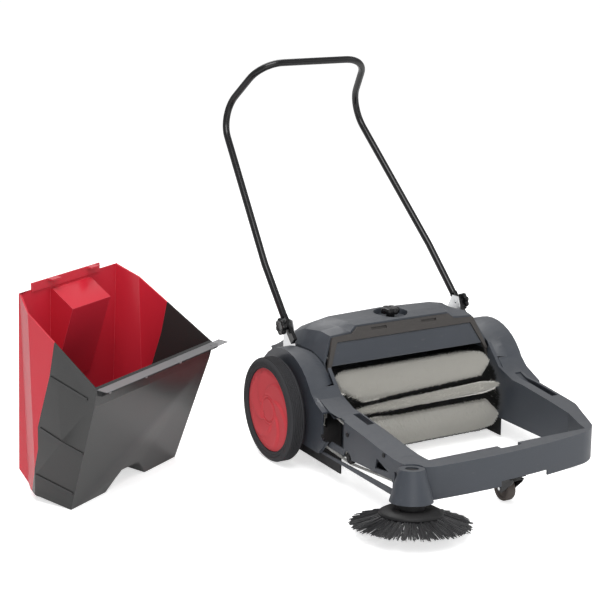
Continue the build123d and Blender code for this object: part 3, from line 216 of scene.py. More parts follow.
# ---- Shared shading effects ----
def moulded_skin_group():
    """Moulded plastic: fine spark-eroded grain, slow flow mottling and a dusty bloom on upward faces."""
    group = bpy.data.node_groups.new("moulded_skin", "ShaderNodeTree")
    sockets = group.interface
    sockets.new_socket("Colour", in_out="INPUT", socket_type="NodeSocketColor")
    for name, value in (
        ("Roughness", 0.5),
        ("Grain Scale", 900.0),
        ("Mottle", 0.12),
        ("Dust", 0.1),
        ("Scuffs", 0.1),
    ):
        sockets.new_socket(name, in_out="INPUT", socket_type="NodeSocketFloat").default_value = value
    sockets.new_socket("Colour", in_out="OUTPUT", socket_type="NodeSocketColor")
    sockets.new_socket("Roughness", in_out="OUTPUT", socket_type="NodeSocketFloat")
    sockets.new_socket("Height", in_out="OUTPUT", socket_type="NodeSocketFloat")
    entry = place(group, "NodeGroupInput").outputs
    where = place(group, "ShaderNodeTexCoord").outputs["Object"]
    grain = noise(group, where, entry["Grain Scale"], 2.0)
    flow = noise(group, where, 7.0, 4.0, 0.6)
    stretched = place(group, "ShaderNodeMapping", {"Vector": where, "Scale": (34.0, 210.0, 120.0)})
    scratch = noise(group, stretched.outputs[0], 1.0, 3.0)
    marks = place(
        group,
        "ShaderNodeMapRange",
        {"Value": scratch, "From Min": 0.66, "From Max": 0.74, "To Max": entry["Scuffs"]},
    ).outputs[0]
    shade = place(
        group,
        "ShaderNodeMapRange",
        {"Value": flow, "From Min": 0.3, "From Max": 0.7, "To Min": -0.5, "To Max": 0.5},
    ).outputs[0]
    gain = maths(group, "MULTIPLY_ADD", shade, entry["Mottle"], 1.0)
    toned = scaled(group, entry["Colour"], gain)
    normal = place(group, "ShaderNodeNewGeometry").outputs["Normal"]
    facing = place(group, "ShaderNodeSeparateXYZ", {0: normal})
    top = place(
        group, "ShaderNodeMapRange", {"Value": facing.outputs["Z"], "From Min": 0.55, "From Max": 1.0}
    ).outputs[0]
    speck = noise(group, where, 60.0, 6.0, 0.7)
    bloom = maths(group, "MULTIPLY", maths(group, "MULTIPLY", top, speck), entry["Dust"])
    bloom = maths(group, "ADD", bloom, marks)
    dusty = place(
        group,
        "ShaderNodeMix",
        {0: bloom, 6: toned, 7: (0.42, 0.40, 0.37, 1.0)},
        data_type="RGBA",
    )
    rough = maths(group, "MULTIPLY_ADD", shade, 0.18, entry["Roughness"])
    rough = maths(group, "MULTIPLY_ADD", bloom, 0.5, rough)
    place(
        group,
        "NodeGroupOutput",
        {"Colour": dusty.outputs[2], "Roughness": rough, "Height": grain},
    )
    return group


def strand_group():
    """Bristles: each strand a little lighter or darker, with soiled patches."""
    group = bpy.data.node_groups.new("strand_tone", "ShaderNodeTree")
    sockets = group.interface
    sockets.new_socket("Colour", in_out="INPUT", socket_type="NodeSocketColor")
    sockets.new_socket("Soil", in_out="INPUT", socket_type="NodeSocketColor")
    sockets.new_socket("Variation", in_out="INPUT", socket_type="NodeSocketFloat")
    sockets.new_socket("Soiling", in_out="INPUT", socket_type="NodeSocketFloat")
    sockets.new_socket("Colour", in_out="OUTPUT", socket_type="NodeSocketColor")
    entry = place(group, "NodeGroupInput").outputs
    where = place(group, "ShaderNodeTexCoord").outputs["Object"]
    fine = noise(group, where, 420.0, 1.0)
    broad = noise(group, where, 26.0, 3.0)
    gain = maths(group, "MULTIPLY_ADD", maths(group, "SUBTRACT", fine, 0.5), entry["Variation"], 1.0)
    toned = scaled(group, entry["Colour"], gain)
    patch = place(
        group,
        "ShaderNodeMapRange",
        {"Value": broad, "From Min": 0.5, "From Max": 0.8, "To Max": entry["Soiling"]},
    ).outputs[0]
    mixed = place(group, "ShaderNodeMix", {0: patch, 6: toned, 7: entry["Soil"]}, data_type="RGBA")
    place(group, "NodeGroupOutput", {"Colour": mixed.outputs[2]})
    return group


def brushed_group():
    """Drawn or plated metal: fine lines along one axis and faint tarnish."""
    group = bpy.data.node_groups.new("drawn_metal", "ShaderNodeTree")
    sockets = group.interface
    sockets.new_socket("Colour", in_out="INPUT", socket_type="NodeSocketColor")
    sockets.new_socket("Roughness", in_out="INPUT", socket_type="NodeSocketFloat")
    sockets.new_socket("Tarnish", in_out="INPUT", socket_type="NodeSocketFloat")
    sockets.new_socket("Colour", in_out="OUTPUT", socket_type="NodeSocketColor")
    sockets.new_socket("Roughness", in_out="OUTPUT", socket_type="NodeSocketFloat")
    sockets.new_socket("Height", in_out="OUTPUT", socket_type="NodeSocketFloat")
    entry = place(group, "NodeGroupInput").outputs
    where = place(group, "ShaderNodeTexCoord").outputs["Object"]
    drawn = place(group, "ShaderNodeMapping", {"Vector": where, "Scale": (20.0, 900.0, 900.0)})
    lines = noise(group, drawn.outputs[0], 1.0, 2.0)
    cloud = noise(group, where, 45.0, 4.0)
    rough = maths(group, "MULTIPLY_ADD", cloud, 0.2, entry["Roughness"])
    dull = maths(group, "MULTIPLY", cloud, entry["Tarnish"])
    mixed = place(
        group, "ShaderNodeMix", {0: dull, 6: entry["Colour"], 7: (0.12, 0.11, 0.10, 1.0)}, data_type="RGBA"
    )
    place(
        group,
        "NodeGroupOutput",
        {"Colour": mixed.outputs[2], "Roughness": rough, "Height": lines},
    )
    return group


# ---- Materials ----
# A finish whose name the frame already holds comes out as the frame's own plain one.
def shared_group(name, builder):
    return bpy.data.node_groups.get(name) or builder()


def new_material(name, colour):
    """Empty Principled material, with its colour kept for the viewport."""
    material = bpy.data.materials.new(name)
    material.use_nodes = True
    material.diffuse_color = (*colour, 1.0)
    tree = material.node_tree
    return material, tree, tree.nodes["Principled BSDF"]


def use_group(tree, group, values):
    made = tree.nodes.new("ShaderNodeGroup")
    made.node_tree = group
    for name, value in values.items():
        made.inputs[name].default_value = value
    return made


def plastic(
    name, colour, roughness, grain=0.00006, mottle=0.14, dust=0.10, scuffs=0.05, coat=0.0, shine=0.5
):
    """Moulded plastic with its own grain depth in metres, bloom and scuffing."""
    known = bpy.data.materials.get(name)
    if known:
        return known
    material, tree, shader = new_material(name, colour)
    skin = use_group(
        tree,
        shared_group("moulded_skin", moulded_skin_group),
        {"Colour": (*colour, 1.0), "Roughness": roughness, "Mottle": mottle, "Dust": dust, "Scuffs": scuffs},
    )
    normal = relief(tree, skin.outputs["Height"], grain, 0.6)
    tree.links.new(skin.outputs["Colour"], shader.inputs["Base Color"])
    tree.links.new(skin.outputs["Roughness"], shader.inputs["Roughness"])
    tree.links.new(normal, shader.inputs["Normal"])
    shader.inputs["Coat Weight"].default_value = coat
    shader.inputs["Coat Roughness"].default_value = 0.15
    shader.inputs["Specular IOR Level"].default_value = shine
    return material


def bristle_material(name, colour, soil, variation, soiling, roughness):
    known = bpy.data.materials.get(name)
    if known:
        return known
    material, tree, shader = new_material(name, colour)
    tone = use_group(
        tree,
        shared_group("strand_tone", strand_group),
        {"Colour": (*colour, 1.0), "Soil": (*soil, 1.0), "Variation": variation, "Soiling": soiling},
    )
    tree.links.new(tone.outputs["Colour"], shader.inputs["Base Color"])
    shader.inputs["Roughness"].default_value = roughness
    shader.inputs["Sheen Weight"].default_value = 0.15
    # Painted glow: the bristles give out their own colour as emission, so they glow without a lamp.
    tree.links.new(tone.outputs["Colour"], shader.inputs["Emission Color"])
    shader.inputs["Emission Strength"].default_value = BRISTLE_PAINTED_GLOW
    return material


def metal(name, colour, roughness, tarnish):
    known = bpy.data.materials.get(name)
    if known:
        return known
    material, tree, shader = new_material(name, colour)
    skin = use_group(
        tree,
        shared_group("drawn_metal", brushed_group),
        {"Colour": (*colour, 1.0), "Roughness": roughness, "Tarnish": tarnish},
    )
    normal = relief(tree, skin.outputs["Height"], 0.00003, 0.4)
    tree.links.new(skin.outputs["Colour"], shader.inputs["Base Color"])
    tree.links.new(skin.outputs["Roughness"], shader.inputs["Roughness"])
    tree.links.new(normal, shader.inputs["Normal"])
    shader.inputs["Metallic"].default_value = 1.0
    return material


def slate():
    return plastic("slate_moulding", tuple(bpy.context.scene.sweeper_shell.slate), 0.40, dust=0.14)


# Painted highlight: a lighter copy of the slate colour for the rounded edges.
def slate_highlight_edge():
    return plastic("slate_painted_highlight_edge", (0.105, 0.116, 0.132), 0.36, dust=0.05)


def trim_brown():
    return plastic("trim_moulding", tuple(bpy.context.scene.sweeper_shell.trim), 0.62, grain=0.0001)


def gloss_black():
    return plastic("gloss_black", (0.008, 0.008, 0.009), 0.24, grain=0.00003, dust=0.02, shine=0.4)


def matt_black():
    return plastic("matt_black", (0.011, 0.011, 0.012), 0.52, grain=0.00008, dust=0.04, shine=0.35)


def powder_black():
    colour = (0.006, 0.006, 0.007)
    return plastic("powder_coat_black", colour, 0.22, grain=0.00005, dust=0.0, coat=0.1, shine=0.4)


def hopper_black():
    return plastic("hopper_black", tuple(bpy.context.scene.sweeper_hopper.black), 0.27, dust=0.02, shine=0.32)


# Painted highlight: a lighter copy of the hopper black for the rounded edges.
def hopper_black_highlight_edge():
    return plastic("hopper_black_highlight_edge", (0.050, 0.050, 0.053), 0.26, dust=0.0)


def hopper_red():
    colour = tuple(bpy.context.scene.sweeper_hopper.red)
    return plastic("hopper_red", colour, 0.36, mottle=0.10, dust=0.05, coat=0.2)


# Painted highlight: a lighter copy of the hopper red for the rounded edges.
def hopper_red_highlight_edge():
    return plastic("hopper_red_highlight_edge", (0.76, 0.075, 0.105), 0.32, dust=0.02)


def rubber():
    return plastic("tyre_rubber", (0.021, 0.021, 0.023), 0.55, grain=0.00012, mottle=0.2)


def worn_rubber():
    colour = (0.060, 0.050, 0.045)
    return plastic("castor_tread", colour, 0.66, grain=0.0002, mottle=0.4, dust=0.3, scuffs=0.2)


def zinc():
    return metal("bright_zinc", (0.78, 0.79, 0.80), 0.22, 0.15)


def steel():
    return metal("machined_steel", (0.55, 0.55, 0.56), 0.30, 0.25)


def belt_grey():
    return plastic("belt_urethane", (0.55, 0.55, 0.53), 0.40, grain=0.00004, dust=0.2)


def nylon():
    return plastic("gear_nylon", (0.66, 0.65, 0.60), 0.45, dust=0.1)


def film_grey():
    """Translucent flexible strip."""
    known = bpy.data.materials.get("flap_film")
    if known:
        return known
    material, tree, shader = new_material("flap_film", (0.16, 0.16, 0.17))
    skin = use_group(
        tree,
        shared_group("moulded_skin", moulded_skin_group),
        {"Colour": (0.16, 0.16, 0.17, 1.0), "Roughness": 0.3, "Mottle": 0.2, "Dust": 0.2, "Scuffs": 0.2},
    )
    tree.links.new(skin.outputs["Colour"], shader.inputs["Base Color"])
    tree.links.new(skin.outputs["Roughness"], shader.inputs["Roughness"])
    shader.inputs["Alpha"].default_value = 0.72
    return material


# ---- Making and finishing pieces ----
def add_piece(name, mesh, body, materials):
    """Links a finished mesh as a piece that rides on a body."""
    mesh.name = name
    mesh.materials.clear()
    for material in materials:
        mesh.materials.append(material)
    piece = bpy.data.objects.new(name, mesh)
    bpy.context.scene.collection.objects.link(piece)
    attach(piece, body)
    return piece


def stand_for(piece, *nodes):
    """Hides the nodes that a piece stands for."""
    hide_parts(*nodes)


def mesh_from(bm, sharp_angle=math.radians(32)):
    """Smooth-shaded mesh with its hard edges marked."""
    mesh = bpy.data.meshes.new("shape")
    bm.to_mesh(mesh)
    bm.free()
    mesh.shade_smooth()
    mesh.set_sharp_from_angle(angle=sharp_angle)
    return mesh


def join_loops(bm, loops, closed):
    """Faces between neighbouring loops of vertices; a loop of one vertex is a pole."""
    pairs = list(zip(loops, loops[1:]))
    if closed:
        pairs.append((loops[-1], loops[0]))
    for near, far in pairs:
        count = max(len(near), len(far))
        for i in range(count):
            j = (i + 1) % count
            corners = [near[i % len(near)], near[j % len(near)], far[j % len(far)], far[i % len(far)]]
            unique = list(dict.fromkeys(corners))
            if len(unique) > 2:
                bm.faces.new(unique)


def turned(profile, origin, axis, segments=96, wave=None):
    """Closed turned shape from (distance, radius) pairs; wave changes the radius with the angle."""
    along = Vector(axis).normalized()
    side = along.orthogonal().normalized()
    across = along.cross(side)
    bm = bmesh.new()
    loops = []
    for distance, radius in profile:
        foot = origin + along * distance
        if radius == 0:
            loops.append([bm.verts.new(foot)])
            continue
        loop = []
        for i in range(segments):
            a = 2 * math.pi * i / segments
            reach = radius * (wave(a, distance) if wave else 1.0)
            loop.append(bm.verts.new(foot + (side * math.cos(a) + across * math.sin(a)) * reach))
        loops.append(loop)
    join_loops(bm, loops, closed=profile[0][1] > 0 and profile[-1][1] > 0)
    bmesh.ops.recalc_face_normals(bm, faces=bm.faces)
    return mesh_from(bm)


def moulding(node, radius, body_material, edge_material, corner=math.radians(28)):
    """A node's own shape with its edges rounded off, the rounding in the edge material, which on the slate and
    hopper pieces is a lighter colour painted as a highlight.
    """
    bm = bmesh.new()
    bm.from_mesh(frame["nodes"][node].data)
    bmesh.ops.remove_doubles(bm, verts=bm.verts, dist=0.00002)
    bmesh.ops.dissolve_limit(bm, angle_limit=math.radians(0.8), verts=bm.verts, edges=bm.edges)
    materials = [body_material, edge_material]
    piece = add_piece(node + "_skin", mesh_from(bm), BODY_OF_NODE[node], materials)
    rounding = piece.modifiers.new("edge_rounding", "BEVEL")
    rounding.width = radius
    rounding.segments = 2
    rounding.limit_method = "ANGLE"
    rounding.angle_limit = corner
    rounding.harden_normals = True
    rounding.use_clamp_overlap = True
    # The rounded faces take the second material, a lighter painted highlight on the slate and hopper pieces.
    rounding.material = 1
    bake_modifiers(piece)
    stand_for(piece, node)
    return piece


def bake_modifiers(piece):
    """Turns the piece's modifiers into plain mesh."""
    graph = bpy.context.evaluated_depsgraph_get()
    graph.update()
    mesh = bpy.data.meshes.new_from_object(piece.evaluated_get(graph), depsgraph=graph)
    piece.modifiers.clear()
    piece.data = mesh
    mesh.name = piece.name


def finish_node(node, material):
    """Gives a node that keeps its own shape a material."""
    for entry in frame["nodes"][node].material_slots:
        entry.link = "OBJECT"
        entry.material = material


def grown(name, tree, values, body, nodes, materials, move=None):
    """Runs a geometry tree and keeps its result as a plain piece."""
    carrier = bpy.data.objects.new(name, bpy.data.meshes.new(name))
    bpy.context.scene.collection.objects.link(carrier)
    modifier = carrier.modifiers.new("growth", "NODES")
    modifier.node_group = tree
    for item in tree.interface.items_tree:
        if item.item_type == "SOCKET" and item.in_out == "INPUT" and item.name in values:
            modifier[item.identifier] = values[item.name]
    bake_modifiers(carrier)
    if move:
        carrier.data.transform(move)
    carrier.data.materials.clear()
    for material in materials:
        carrier.data.materials.append(material)
    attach(carrier, body)
    if nodes:
        stand_for(carrier, *nodes)
    return carrier


# ---- Geometry trees ----
def new_tree(name, numbers):
    """Geometry tree with the given inputs, each (name, default); whole numbers make whole-number inputs."""
    tree = bpy.data.node_groups.new(name, "GeometryNodeTree")
    tree.is_modifier = True
    for label, value in numbers:
        if isinstance(value, bpy.types.Material):
            kind = "NodeSocketMaterial"
        elif isinstance(value, int):
            kind = "NodeSocketInt"
        elif isinstance(value, tuple):
            kind = "NodeSocketVector"
        else:
            kind = "NodeSocketFloat"
        tree.interface.new_socket(label, in_out="INPUT", socket_type=kind).default_value = value
    tree.interface.new_socket("Geometry", in_out="OUTPUT", socket_type="NodeSocketGeometry")
    return tree, place(tree, "NodeGroupInput").outputs


def end_tree(tree, instances, material):
    real = place(tree, "GeometryNodeRealizeInstances", {0: instances})
    dressed = place(tree, "GeometryNodeSetMaterial", {"Geometry": real.outputs[0], "Material": material})
    place(tree, "NodeGroupOutput", {"Geometry": dressed.outputs[0]})


def random_value(tree, low, high, seed):
    made = place(tree, "FunctionNodeRandomValue", {2: low, 3: high, "Seed": seed}, data_type="FLOAT")
    return made.outputs[1]


def bristle_band_tree(material):
    """Straight bristles standing on a drum between two angles, the band narrowing or widening at its ends."""
    tree, entry = new_tree(
        "bristle_band",
        (
            ("Centre", (0.0, 0.0, 0.0)),
            ("Half Length", 0.24),
            ("Start Angle", 0.0),
            ("End Angle", 1.0),
            ("Slant", 0.0),
            ("Tip Reach", 0.05),
            ("Tip Share", 0.0),
            ("Tip Shift", 0.0),
            ("Along", 200),
            ("Around", 40),
            ("Root Radius", 0.1),
            ("Tip Radius", 0.12),
            ("Ragged", 0.1),
            ("Thickness", 0.001),
            ("Lean", 0.1),
            ("Seed", 1),
            ("Material", material),
        ),
    )
    sheet = place(
        tree,
        "GeometryNodeMeshGrid",
        {
            "Size X": maths(tree, "MULTIPLY", entry["Half Length"], 2.0),
            "Size Y": 1.0,
            "Vertices X": entry["Along"],
            "Vertices Y": entry["Around"],
        },
    )
    spot = place(tree, "ShaderNodeSeparateXYZ", {0: place(tree, "GeometryNodeInputPosition").outputs[0]})
    nudge_x = maths(tree, "DIVIDE", random_value(tree, -0.6, 0.6, entry["Seed"]), entry["Along"])
    stray_y = random_value(tree, -0.6, 0.6, maths(tree, "ADD", entry["Seed"], 7.0))
    nudge_y = maths(tree, "DIVIDE", stray_y, entry["Around"])
    length_full = maths(tree, "MULTIPLY", entry["Half Length"], 2.0)
    x = maths(tree, "MULTIPLY_ADD", nudge_x, length_full, spot.outputs["X"])
    reach = maths(tree, "SUBTRACT", entry["Half Length"], entry["Tip Reach"])
    beyond = maths(tree, "SUBTRACT", maths(tree, "ABSOLUTE", x), reach)
    past = maths(tree, "DIVIDE", beyond, entry["Tip Reach"])
    past = place(tree, "ShaderNodeClamp", {"Value": past}).outputs[0]
    width = maths(tree, "SUBTRACT", 1.0, maths(tree, "MULTIPLY", past, entry["Tip Share"]))
    across = maths(tree, "MULTIPLY", maths(tree, "ADD", spot.outputs["Y"], nudge_y), width)
    centre = maths(tree, "MULTIPLY", maths(tree, "ADD", entry["Start Angle"], entry["End Angle"]), 0.5)
    span = maths(tree, "SUBTRACT", entry["End Angle"], entry["Start Angle"])
    angle = maths(tree, "MULTIPLY_ADD", across, span, centre)
    angle = maths(tree, "MULTIPLY_ADD", past, entry["Tip Shift"], angle)
    angle = maths(tree, "MULTIPLY_ADD", x, entry["Slant"], angle)
    back = maths(tree, "MULTIPLY", maths(tree, "COSINE", angle), -1.0)
    rise = maths(tree, "SINE", angle)
    outward = place(tree, "ShaderNodeCombineXYZ", {"X": 0.0, "Y": back, "Z": rise}).outputs[0]
    root = scaled(tree, outward, entry["Root Radius"])
    slide = place(tree, "ShaderNodeCombineXYZ", {"X": x}).outputs[0]
    foot = vector_maths(tree, "ADD", vector_maths(tree, "ADD", root, slide), entry["Centre"])
    stood = place(tree, "GeometryNodeSetPosition", {"Geometry": sheet.outputs["Mesh"], "Position": foot})
    wander = place(
        tree,
        "FunctionNodeRandomValue",
        {0: (-1.0, -1.0, -1.0), 1: (1.0, 1.0, 1.0), "Seed": maths(tree, "ADD", entry["Seed"], 3.0)},
        data_type="FLOAT_VECTOR",
    )
    heading = vector_maths(tree, "ADD", outward, scaled(tree, wander.outputs[0], entry["Lean"]))
    turn = place(tree, "FunctionNodeAlignRotationToVector", {"Vector": heading}, axis="Z")
    full = maths(tree, "SUBTRACT", entry["Tip Radius"], entry["Root Radius"])
    short = maths(tree, "SUBTRACT", 1.0, entry["Ragged"])
    share = random_value(tree, short, 1.0, maths(tree, "ADD", entry["Seed"], 5.0))
    length = maths(tree, "MULTIPLY", full, share)
    thick = entry["Thickness"]
    size = place(tree, "ShaderNodeCombineXYZ", {"X": thick, "Y": thick, "Z": length})
    strand = place(
        tree,
        "GeometryNodeMeshCone",
        {"Vertices": 3, "Side Segments": 1, "Radius Top": 0.22, "Radius Bottom": 1.0, "Depth": 1.0},
        fill_type="TRIANGLE_FAN",
    )
    grown_points = place(
        tree,
        "GeometryNodeInstanceOnPoints",
        {
            "Points": stood.outputs[0],
            "Instance": strand.outputs["Mesh"],
            "Rotation": turn.outputs[0],
            "Scale": size.outputs[0],
        },
    )
    end_tree(tree, grown_points.outputs[0], entry["Material"])
    return tree


def swept_bristle_tree(material):
    """Bent bristles in tufts round a disc, splayed outward and down, about an upright axis."""
    tree, entry = new_tree(
        "splayed_bristles",
        (
            ("Tufts", 30),
            ("Per Tuft", 30),
            ("Root Radius", 0.058),
            ("Root Spread", 0.006),
            ("Reach", 0.1),
            ("Drop", 0.04),
            ("Thickness", 0.0009),
            ("Splay", 0.12),
            ("Seed", 2),
            ("Material", material),
        ),
    )
    total = maths(tree, "MULTIPLY", entry["Tufts"], entry["Per Tuft"])
    line = place(tree, "GeometryNodeMeshLine", {"Count": total})
    index = place(tree, "GeometryNodeInputIndex").outputs[0]
    tuft = maths(tree, "FLOOR", maths(tree, "DIVIDE", index, entry["Per Tuft"]))
    step = maths(tree, "DIVIDE", 2 * math.pi, entry["Tufts"])
    angle = maths(tree, "MULTIPLY", tuft, step)
    stray = random_value(tree, -0.5, 0.5, entry["Seed"])
    at_root = maths(tree, "MULTIPLY_ADD", stray, maths(tree, "MULTIPLY", step, 0.42), angle)
    stray_two = random_value(tree, -1.0, 1.0, maths(tree, "ADD", entry["Seed"], 1.0))
    radius = maths(tree, "MULTIPLY_ADD", stray_two, entry["Root Spread"], entry["Root Radius"])
    foot = place(
        tree,
        "ShaderNodeCombineXYZ",
        {
            "X": maths(tree, "MULTIPLY", maths(tree, "COSINE", at_root), radius),
            "Y": maths(tree, "MULTIPLY", maths(tree, "SINE", at_root), radius),
        },
    )
    stood = place(tree, "GeometryNodeSetPosition", {"Geometry": line.outputs[0], "Position": foot.outputs[0]})
    stray_fan = maths(tree, "ADD", stray, random_value(tree, -0.5, 0.5, 11))
    fan = maths(tree, "MULTIPLY", stray_fan, entry["Splay"])
    heading = maths(tree, "ADD", at_root, fan)
    turn = place(tree, "ShaderNodeCombineXYZ", {"Z": heading})
    length = random_value(tree, 0.86, 1.0, maths(tree, "ADD", entry["Seed"], 4.0))
    depth = random_value(tree, 0.80, 1.0, maths(tree, "ADD", entry["Seed"], 6.0))
    size = place(
        tree,
        "ShaderNodeCombineXYZ",
        {
            "X": maths(tree, "MULTIPLY", entry["Reach"], length),
            "Y": 1.0,
            "Z": maths(tree, "MULTIPLY", entry["Drop"], depth),
        },
    )
    bend = place(
        tree,
        "GeometryNodeCurveQuadraticBezier",
        {"Resolution": 4, "Start": (0.0, 0.0, 0.0), "Middle": (0.45, 0.0, -0.55), "End": (1.0, 0.0, -1.0)},
    )
    section = place(tree, "GeometryNodeCurvePrimitiveCircle", {"Resolution": 3, "Radius": entry["Thickness"]})
    placed = place(
        tree,
        "GeometryNodeInstanceOnPoints",
        {
            "Points": stood.outputs[0],
            "Instance": bend.outputs[0],
            "Rotation": turn.outputs[0],
            "Scale": size.outputs[0],
        },
    )
    real = place(tree, "GeometryNodeRealizeInstances", {0: placed.outputs[0]})
    tube = place(
        tree,
        "GeometryNodeCurveToMesh",
        {"Curve": real.outputs[0], "Profile Curve": section.outputs[0], "Fill Caps": True},
    )
    end_tree(tree, tube.outputs[0], entry["Material"])
    return tree


# ---- Operators ----
class SWEEPER_OT_stage(bpy.types.Operator):
    """Make the floor, the soft lights and the camera"""

    bl_idname = "sweeper.stage"
    bl_label = "Stage"

    def execute(self, context):
        settings = context.scene.sweeper_stage
        floor = bpy.data.meshes.new("floor")
        reach = 30.0
        corners = [(-reach, -reach, 0), (reach, -reach, 0), (reach, reach, 0), (-reach, reach, 0)]
        floor.from_pydata(corners, [], [(0, 1, 2, 3)])
        floor_object = bpy.data.objects.new("floor", floor)
        context.scene.collection.objects.link(floor_object)
        material, tree, shader = new_material("pale_floor", (0.93, 0.93, 0.93))
        shader.inputs["Base Color"].default_value = (0.93, 0.93, 0.93, 1.0)
        shader.inputs["Roughness"].default_value = 0.9
        shader.inputs["Specular IOR Level"].default_value = 0.1
        shader.inputs["Emission Color"].default_value = (1.0, 1.0, 1.0, 1.0)
        looked_at = place(tree, "ShaderNodeLightPath").outputs["Is Camera Ray"]
        glow = maths(tree, "MULTIPLY_ADD", looked_at, FLOOR_LIFT, FLOOR_GLOW)
        tree.links.new(glow, shader.inputs["Emission Strength"])
        floor.materials.append(material)
        world = bpy.data.worlds.new("studio")
        world.use_nodes = True
        background = world.node_tree.nodes["Background"]
        background.inputs["Color"].default_value = (1.0, 1.0, 1.0, 1.0)
        seen = place(world.node_tree, "ShaderNodeLightPath").outputs["Is Camera Ray"]
        strength = maths(world.node_tree, "MULTIPLY_ADD", seen, 1.0 - AMBIENT, AMBIENT)
        world.node_tree.links.new(strength, background.inputs["Strength"])
        context.scene.world = world
        for name, spot, aim, size, power in (
            ("key_light", (-0.9, -1.6, 3.9), (-0.1, 0.0, 0.2), 2.4, 92.0),
            ("front_light", (-1.2, -4.2, 1.5), (0.2, 0.0, 0.25), 2.6, 26.0),
            ("fill_light", (3.2, -2.0, 2.2), (0.1, 0.0, 0.3), 2.6, 16.0),
            ("rim_light", (0.6, 2.6, 3.4), (0.0, 0.0, 0.4), 2.4, 55.0),
        ):
            lamp = bpy.data.lights.new(name, "AREA")
            lamp.size = size
            lamp.energy = power
            stand = bpy.data.objects.new(name, lamp)
            stand.location = spot
            stand.rotation_mode = "QUATERNION"
            stand.rotation_quaternion = (Vector(aim) - Vector(spot)).to_track_quat("-Z", "Y")
            context.scene.collection.objects.link(stand)
        lens = bpy.data.cameras.new("view")
        lens.lens = settings.lens
        lens.sensor_width = 36.0
        camera = bpy.data.objects.new("view", lens)
        flat = math.cos(settings.elevation)
        back = Vector(
            (
                math.sin(settings.azimuth) * flat,
                -math.cos(settings.azimuth) * flat,
                math.sin(settings.elevation),
            )
        )
        camera.location = Vector((MID_X, middle("tyre_right").y, 0.0)) + CAMERA_FROM_MACHINE
        camera.rotation_mode = "QUATERNION"
        camera.rotation_quaternion = (-back).to_track_quat("-Z", "Y")
        context.scene.collection.objects.link(camera)
        context.scene.camera = camera
        context.scene.view_settings.view_transform = "Standard"
        return {"FINISHED"}


class SWEEPER_OT_chassis(bpy.types.Operator):
    """Round and finish the chassis mouldings"""

    bl_idname = "sweeper.chassis"
    bl_label = "Chassis"

    def execute(self, context):
        radius = context.scene.sweeper_shell.edge_radius
        for node in ("frame_side_left", "frame_side_right", "front_bar", "broom_housing"):
            moulding(node, radius, slate(), slate_highlight_edge())
        moulding("hood", radius * 1.6, slate(), slate_highlight_edge(), corner=math.radians(14))
        moulding("hood_trim", radius * 0.8, trim_brown(), trim_brown())
        moulding("front_panel", radius * 0.6, slate(), slate_highlight_edge())
        moulding("rear_panel", radius * 0.8, slate(), slate_highlight_edge())
        moulding("housing_cap", radius * 0.5, matt_black(), matt_black())
        for node in ("side_plate_left", "side_plate_right"):
            moulding(node, 0.0006, matt_black(), matt_black())
        for node in ("rear_seal", "side_skirts"):
            moulding(node, 0.0004, matt_black(), matt_black())
        return {"FINISHED"}


class SWEEPER_OT_drive(bpy.types.Operator):
    """Finish the axles, gears, pulleys, belts and the brush carrier"""

    bl_idname = "sweeper.drive"
    bl_label = "Drive train"

    def execute(self, context):
        for node in ("stub_axles", "jackshaft", "brush_shaft", "carrier_tube", "lift_screw", "broom_spindle"):
            finish_node(node, steel())
        for node in ("axle_clips", "handle_bolts", "castor_pin"):
            finish_node(node, zinc())
        for node in ("drive_hub", "jackshaft_pinion", "broom_pulley", "brush_bearings"):
            finish_node(node, nylon())
        for node in ("belt_pulley_upper", "belt_pulley_lower"):
            finish_node(node, nylon())
        for node in ("guide_pulley", "guide_pins", "brush_core"):
            finish_node(node, matt_black())
        for node in ("carrier_arm_left", "carrier_arm_right"):
            moulding(node, 0.0005, powder_black(), powder_black())
        finish_node("brush_belt", rubber())
        finish_node("round_belt", belt_grey())
        return {"FINISHED"}


class SWEEPER_OT_wheels(bpy.types.Operator):
    """Make the ribbed tyres and the discs with their curved blades"""

    bl_idname = "sweeper.wheels"
    bl_label = "Wheels"

    def execute(self, context):
        settings = context.scene.sweeper_wheels
        disc_material = plastic("disc_red", tuple(settings.disc_red), 0.42, mottle=0.1, dust=0.05, coat=0.1)
        for side, outward in (("left", 1.0), ("right", -1.0)):
            centre = middle("tyre_" + side)
            radius = extent("tyre_" + side).z / 2
            half = extent("tyre_" + side).x / 2
            disc_r = extent("wheel_disc_" + side).z / 2
            tyre = turned(tyre_profile(radius, disc_r, half), centre, (outward, 0, 0), segments=160)
            piece = add_piece("tyre_%s_ribbed" % side, tyre, "wheel_" + side, [rubber()])
            stand_for(piece, "tyre_" + side)
            disc = bladed_disc(side, outward, settings.blades, settings.blade_height)
            piece = add_piece("wheel_disc_%s_bladed" % side, disc, "wheel_" + side, [disc_material])
            stand_for(piece, "wheel_disc_" + side)
        return {"FINISHED"}


def tyre_profile(radius, inner, half):
    """Section of a tyre: a tread of fine ribs between rounded shoulders."""
    ribs = 6
    groove = 0.0030
    shoulder = 0.007
    land = 2 * (half - shoulder) / ribs
    section = [(-half + 0.004, inner + 0.0005), (-half, inner + 0.005), (-half, radius - 0.011)]
    section += [(-half + 0.002, radius - 0.005), (-half + 0.006, radius - 0.0014)]
    for i in range(ribs):
        start = -half + shoulder + i * land
        section += [(start + 0.0010, radius - groove), (start + 0.0018, radius)]
        section += [(start + land - 0.0016, radius), (start + land - 0.0008, radius - groove)]
    section += [(half - 0.006, radius - 0.0014), (half - 0.002, radius - 0.005), (half, radius - 0.011)]
    ring = 0.001
    for depth in (0.013, 0.020):
        low = radius - depth
        section += [(half, low), (half - 0.0012, low - ring), (half, low - 2 * ring)]
    section += [(half, inner + 0.005), (half - 0.004, inner + 0.0005)]
    return section


